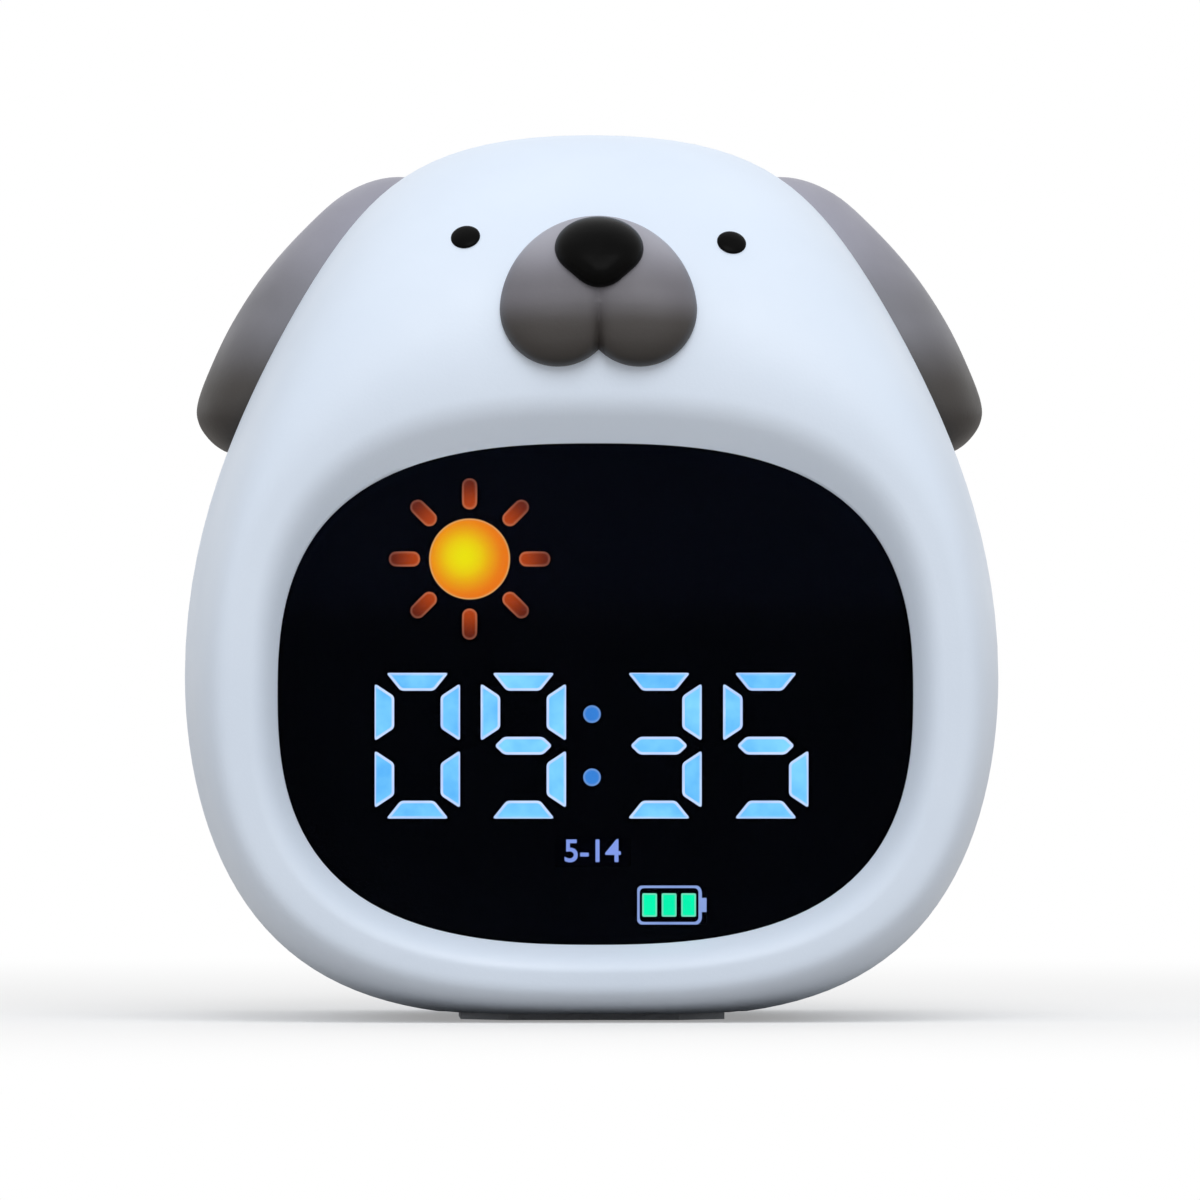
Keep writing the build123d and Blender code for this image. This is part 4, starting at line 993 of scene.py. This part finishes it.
slider = {"z": 70.0, "length": 4.6, "height": 3.0, "backY": 43.0, "edge": 0.35, "sunk": 0.3,
          "flangeY": 39.7, "flange": (11.8, 0.8, 5.2), "stem": 1.6, "stemGap": 0.1,
          "grooves": (-1.3, 0.0, 1.3), "grooveWidth": 0.55, "grooveDepth": 0.4}
knobLength = slider["backY"] - slider["flangeY"] + slider["sunk"]
knob = block(0, slider["backY"] - knobLength / 2, slider["z"], slider["length"], knobLength, slider["height"])
bevelEdges(knob, slider["edge"], 3)
for x in slider["grooves"]:
    boolean(knob, roundBar(x, slider["z"], 2 * slider["height"], slider["grooveWidth"],
                           2 * slider["grooveDepth"], slider["backY"], 90, 12))
wide, thin, tall = slider["flange"]
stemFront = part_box("alarm_slider")[0][1] / mm
stemLength = slider["flangeY"] - stemFront - slider["stemGap"]
flange = block(0, slider["flangeY"] - thin / 2, slider["z"], wide, thin - hair, tall)
stem = block(0, stemFront + stemLength / 2, slider["z"], slider["stem"], stemLength, slider["stem"])
finishPiece(joinAll([knob, flange, stem]), "sliderKnob", "keyGrey",
            replaced=["alarm_slider"], body="alarm_switch")

screw = {"headRadius": 2.3, "headHeight": 1.6, "radius": 1.25, "reach": 10.4, "edge": 0.5,
         "slotLong": 2.6, "slotWide": 0.62, "slotDepth": 0.9, "slotTurn": 20}
screws = []
for x, z in back["screwPoints"]:
    seatY = back["wellFloorY"]
    body = rod(x, z, screw["headRadius"], screw["headHeight"], seatY + screw["headHeight"] / 2)
    bevelEdges(body, screw["edge"], 3)
    shank = rod(x, z, screw["radius"], screw["reach"], seatY - screw["reach"] / 2, 24)
    for turn in (screw["slotTurn"] + x, screw["slotTurn"] + 90 + x):
        boolean(body, roundBar(x, z, screw["slotLong"], screw["slotWide"], 2 * screw["slotDepth"],
                               seatY + screw["headHeight"], turn, 12))
    screws += [body, shank]
finishPiece(joinAll(screws), "caseScrews", "metal", replaced=["case_screws"])
print("controls ready")


# the solids that are shown as they are
dressed = {
    "lensGlass": ["display_lens"], "padGrey": ["base_pad"], "rubber": ["lens_tape", "battery_tape"],
    "maskBlack": ["display_reflector"], "boardGreen": ["display_board", "main_board", "light_board"],
    "ivory": ["display_leds", "light_leds", "battery_socket", "ribbon_cable", "ribbon_sockets"],
    "chipBlack": ["display_driver", "main_chips", "tact_switches", "usb_tongue", "speaker_frame",
                  *[f"button_{use}_plunger" for use in keys["marks"]]],
    "metal": ["slide_switch", "usb_socket", "speaker_magnet"], "coneFilm": ["speaker_cone"],
    "leadRed": ["speaker_leads", "battery_leads"], "cellWrap": ["battery_cell"],
    "diffuser": ["light_diffuser"],
}
for finish, names in dressed.items():
    for name in names:
        dress(nodes[name], finish)
print("solids dressed")


# floor, light and camera
studio = {"floorRadius": 6, "floorTint": 0.93, "floorBounce": (0.60, 0.575, 0.55), "floorRoughness": 0.9,
          "fadeStart": 0.12, "fadeEnd": 0.40, "leastWhite": 0.3, "worldTop": 0.88, "worldSide": 0.525,
          "keyPower": 3.0, "keyPlace": (0.07, -0.64, 0.75), "keySize": 0.55, "keyAim": (0, 0, 0.055)}

# the floor throws back less light than the camera sees on it, and fades to white away from the clock
deselectAll()
bpy.ops.mesh.primitive_circle_add(vertices=96, radius=studio["floorRadius"], fill_type="NGON")
floor = bpy.context.object
floor.name = "floor"
floorMaterial, tree, shader = newMaterial("floorWhite")
setInputs(shader, {"Roughness": studio["floorRoughness"], "Specular IOR Level": 0.0})
bounce = addNode(tree, "Mix", {mixFrom: (*studio["floorBounce"], 1), mixTo: (*[studio["floorTint"]] * 3, 1)},
                 data_type="RGBA")
white = addNode(tree, "Emission")
place = addNode(tree, "TexCoord")
distance = addNode(tree, "VectorMath", operation="LENGTH")
fade = addNode(tree, "MapRange", {"From Min": studio["fadeStart"], "From Max": studio["fadeEnd"],
                                  "To Min": studio["leastWhite"]}, interpolation_type="SMOOTHSTEP")
path = addNode(tree, "LightPath")
seen = addNode(tree, "Math", operation="MULTIPLY")
mixFloor = addNode(tree, "MixShader")
wire(tree, (path, "Is Camera Ray", bounce, "Factor"), (bounce, mixOut, shader, "Base Color"),
     (place, "Object", distance, 0), (distance, "Value", fade, "Value"), (fade, "Result", seen, 0),
     (path, "Is Camera Ray", seen, 1), (seen, "Value", mixFloor, "Fac"), (shader, "BSDF", mixFloor, 1),
     (white, "Emission", mixFloor, 2), (mixFloor, "Shader", tree.nodes["Material Output"], "Surface"))
floor.data.materials.append(floorMaterial)

# the world is white to the camera, to reflections and through glass, and dimmer as a light
world = bpy.data.worlds.new("studio")
bpy.context.scene.world = world
world.use_nodes = True
tree = world.node_tree
background = tree.nodes["Background"]
setInputs(background, {"Color": (1, 1, 1, 1)})
place = addNode(tree, "TexCoord")
parts = addNode(tree, "SeparateXYZ")
height = addNode(tree, "MapRange", {"To Min": studio["worldSide"], "To Max": studio["worldTop"]})
path = addNode(tree, "LightPath")
mirrored = addNode(tree, "Math", operation="MAXIMUM")
seen = addNode(tree, "Math", operation="MAXIMUM")
bright = addNode(tree, "Mix", {"B": 1.0}, data_type="FLOAT")
wire(tree, (place, "Generated", parts, "Vector"), (parts, "Z", height, "Value"),
     (path, "Is Glossy Ray", mirrored, 0), (path, "Is Transmission Ray", mirrored, 1),
     (path, "Is Camera Ray", seen, 0), (mirrored, "Value", seen, 1), (seen, "Value", bright, "Factor"),
     (height, "Result", bright, "A"), (bright, "Result", background, "Strength"))

keyLight = bpy.data.lights.new("key", "AREA")
keyLight.size = studio["keySize"]
keyLight.energy = studio["keyPower"]
keyLamp = bpy.data.objects.new("key", keyLight)
bpy.context.scene.collection.objects.link(keyLamp)
keyLamp.location = studio["keyPlace"]
keyAim = Vector(studio["keyAim"]) - Vector(studio["keyPlace"])
keyLamp.rotation_euler = keyAim.to_track_quat("-Z", "Y").to_euler()

view = {"azimuth": -1.0, "elevation": 0.5, "distance": 4.0, "frame": 0.1552, "aim": (0.0012, 0, 0.0539),
        "sensor": 36, "clipStart": 0.01}
azimuth, elevation = math.radians(view["azimuth"]), math.radians(view["elevation"])
away = Vector((math.sin(azimuth) * math.cos(elevation), -math.cos(azimuth) * math.cos(elevation),
               math.sin(elevation)))
cameraData = bpy.data.cameras.new("camera")
camera = bpy.data.objects.new("camera", cameraData)
bpy.context.scene.collection.objects.link(camera)
camera.location = Vector(view["aim"]) + away * view["distance"]
camera.rotation_euler = (-away).to_track_quat("-Z", "Y").to_euler()
cameraData.sensor_width = view["sensor"]
cameraData.lens = view["sensor"] * view["distance"] / view["frame"]
cameraData.clip_start = view["clipStart"]
bpy.context.scene.camera = camera
bpy.context.scene.view_settings.view_transform = "Standard"
print("studio ready")
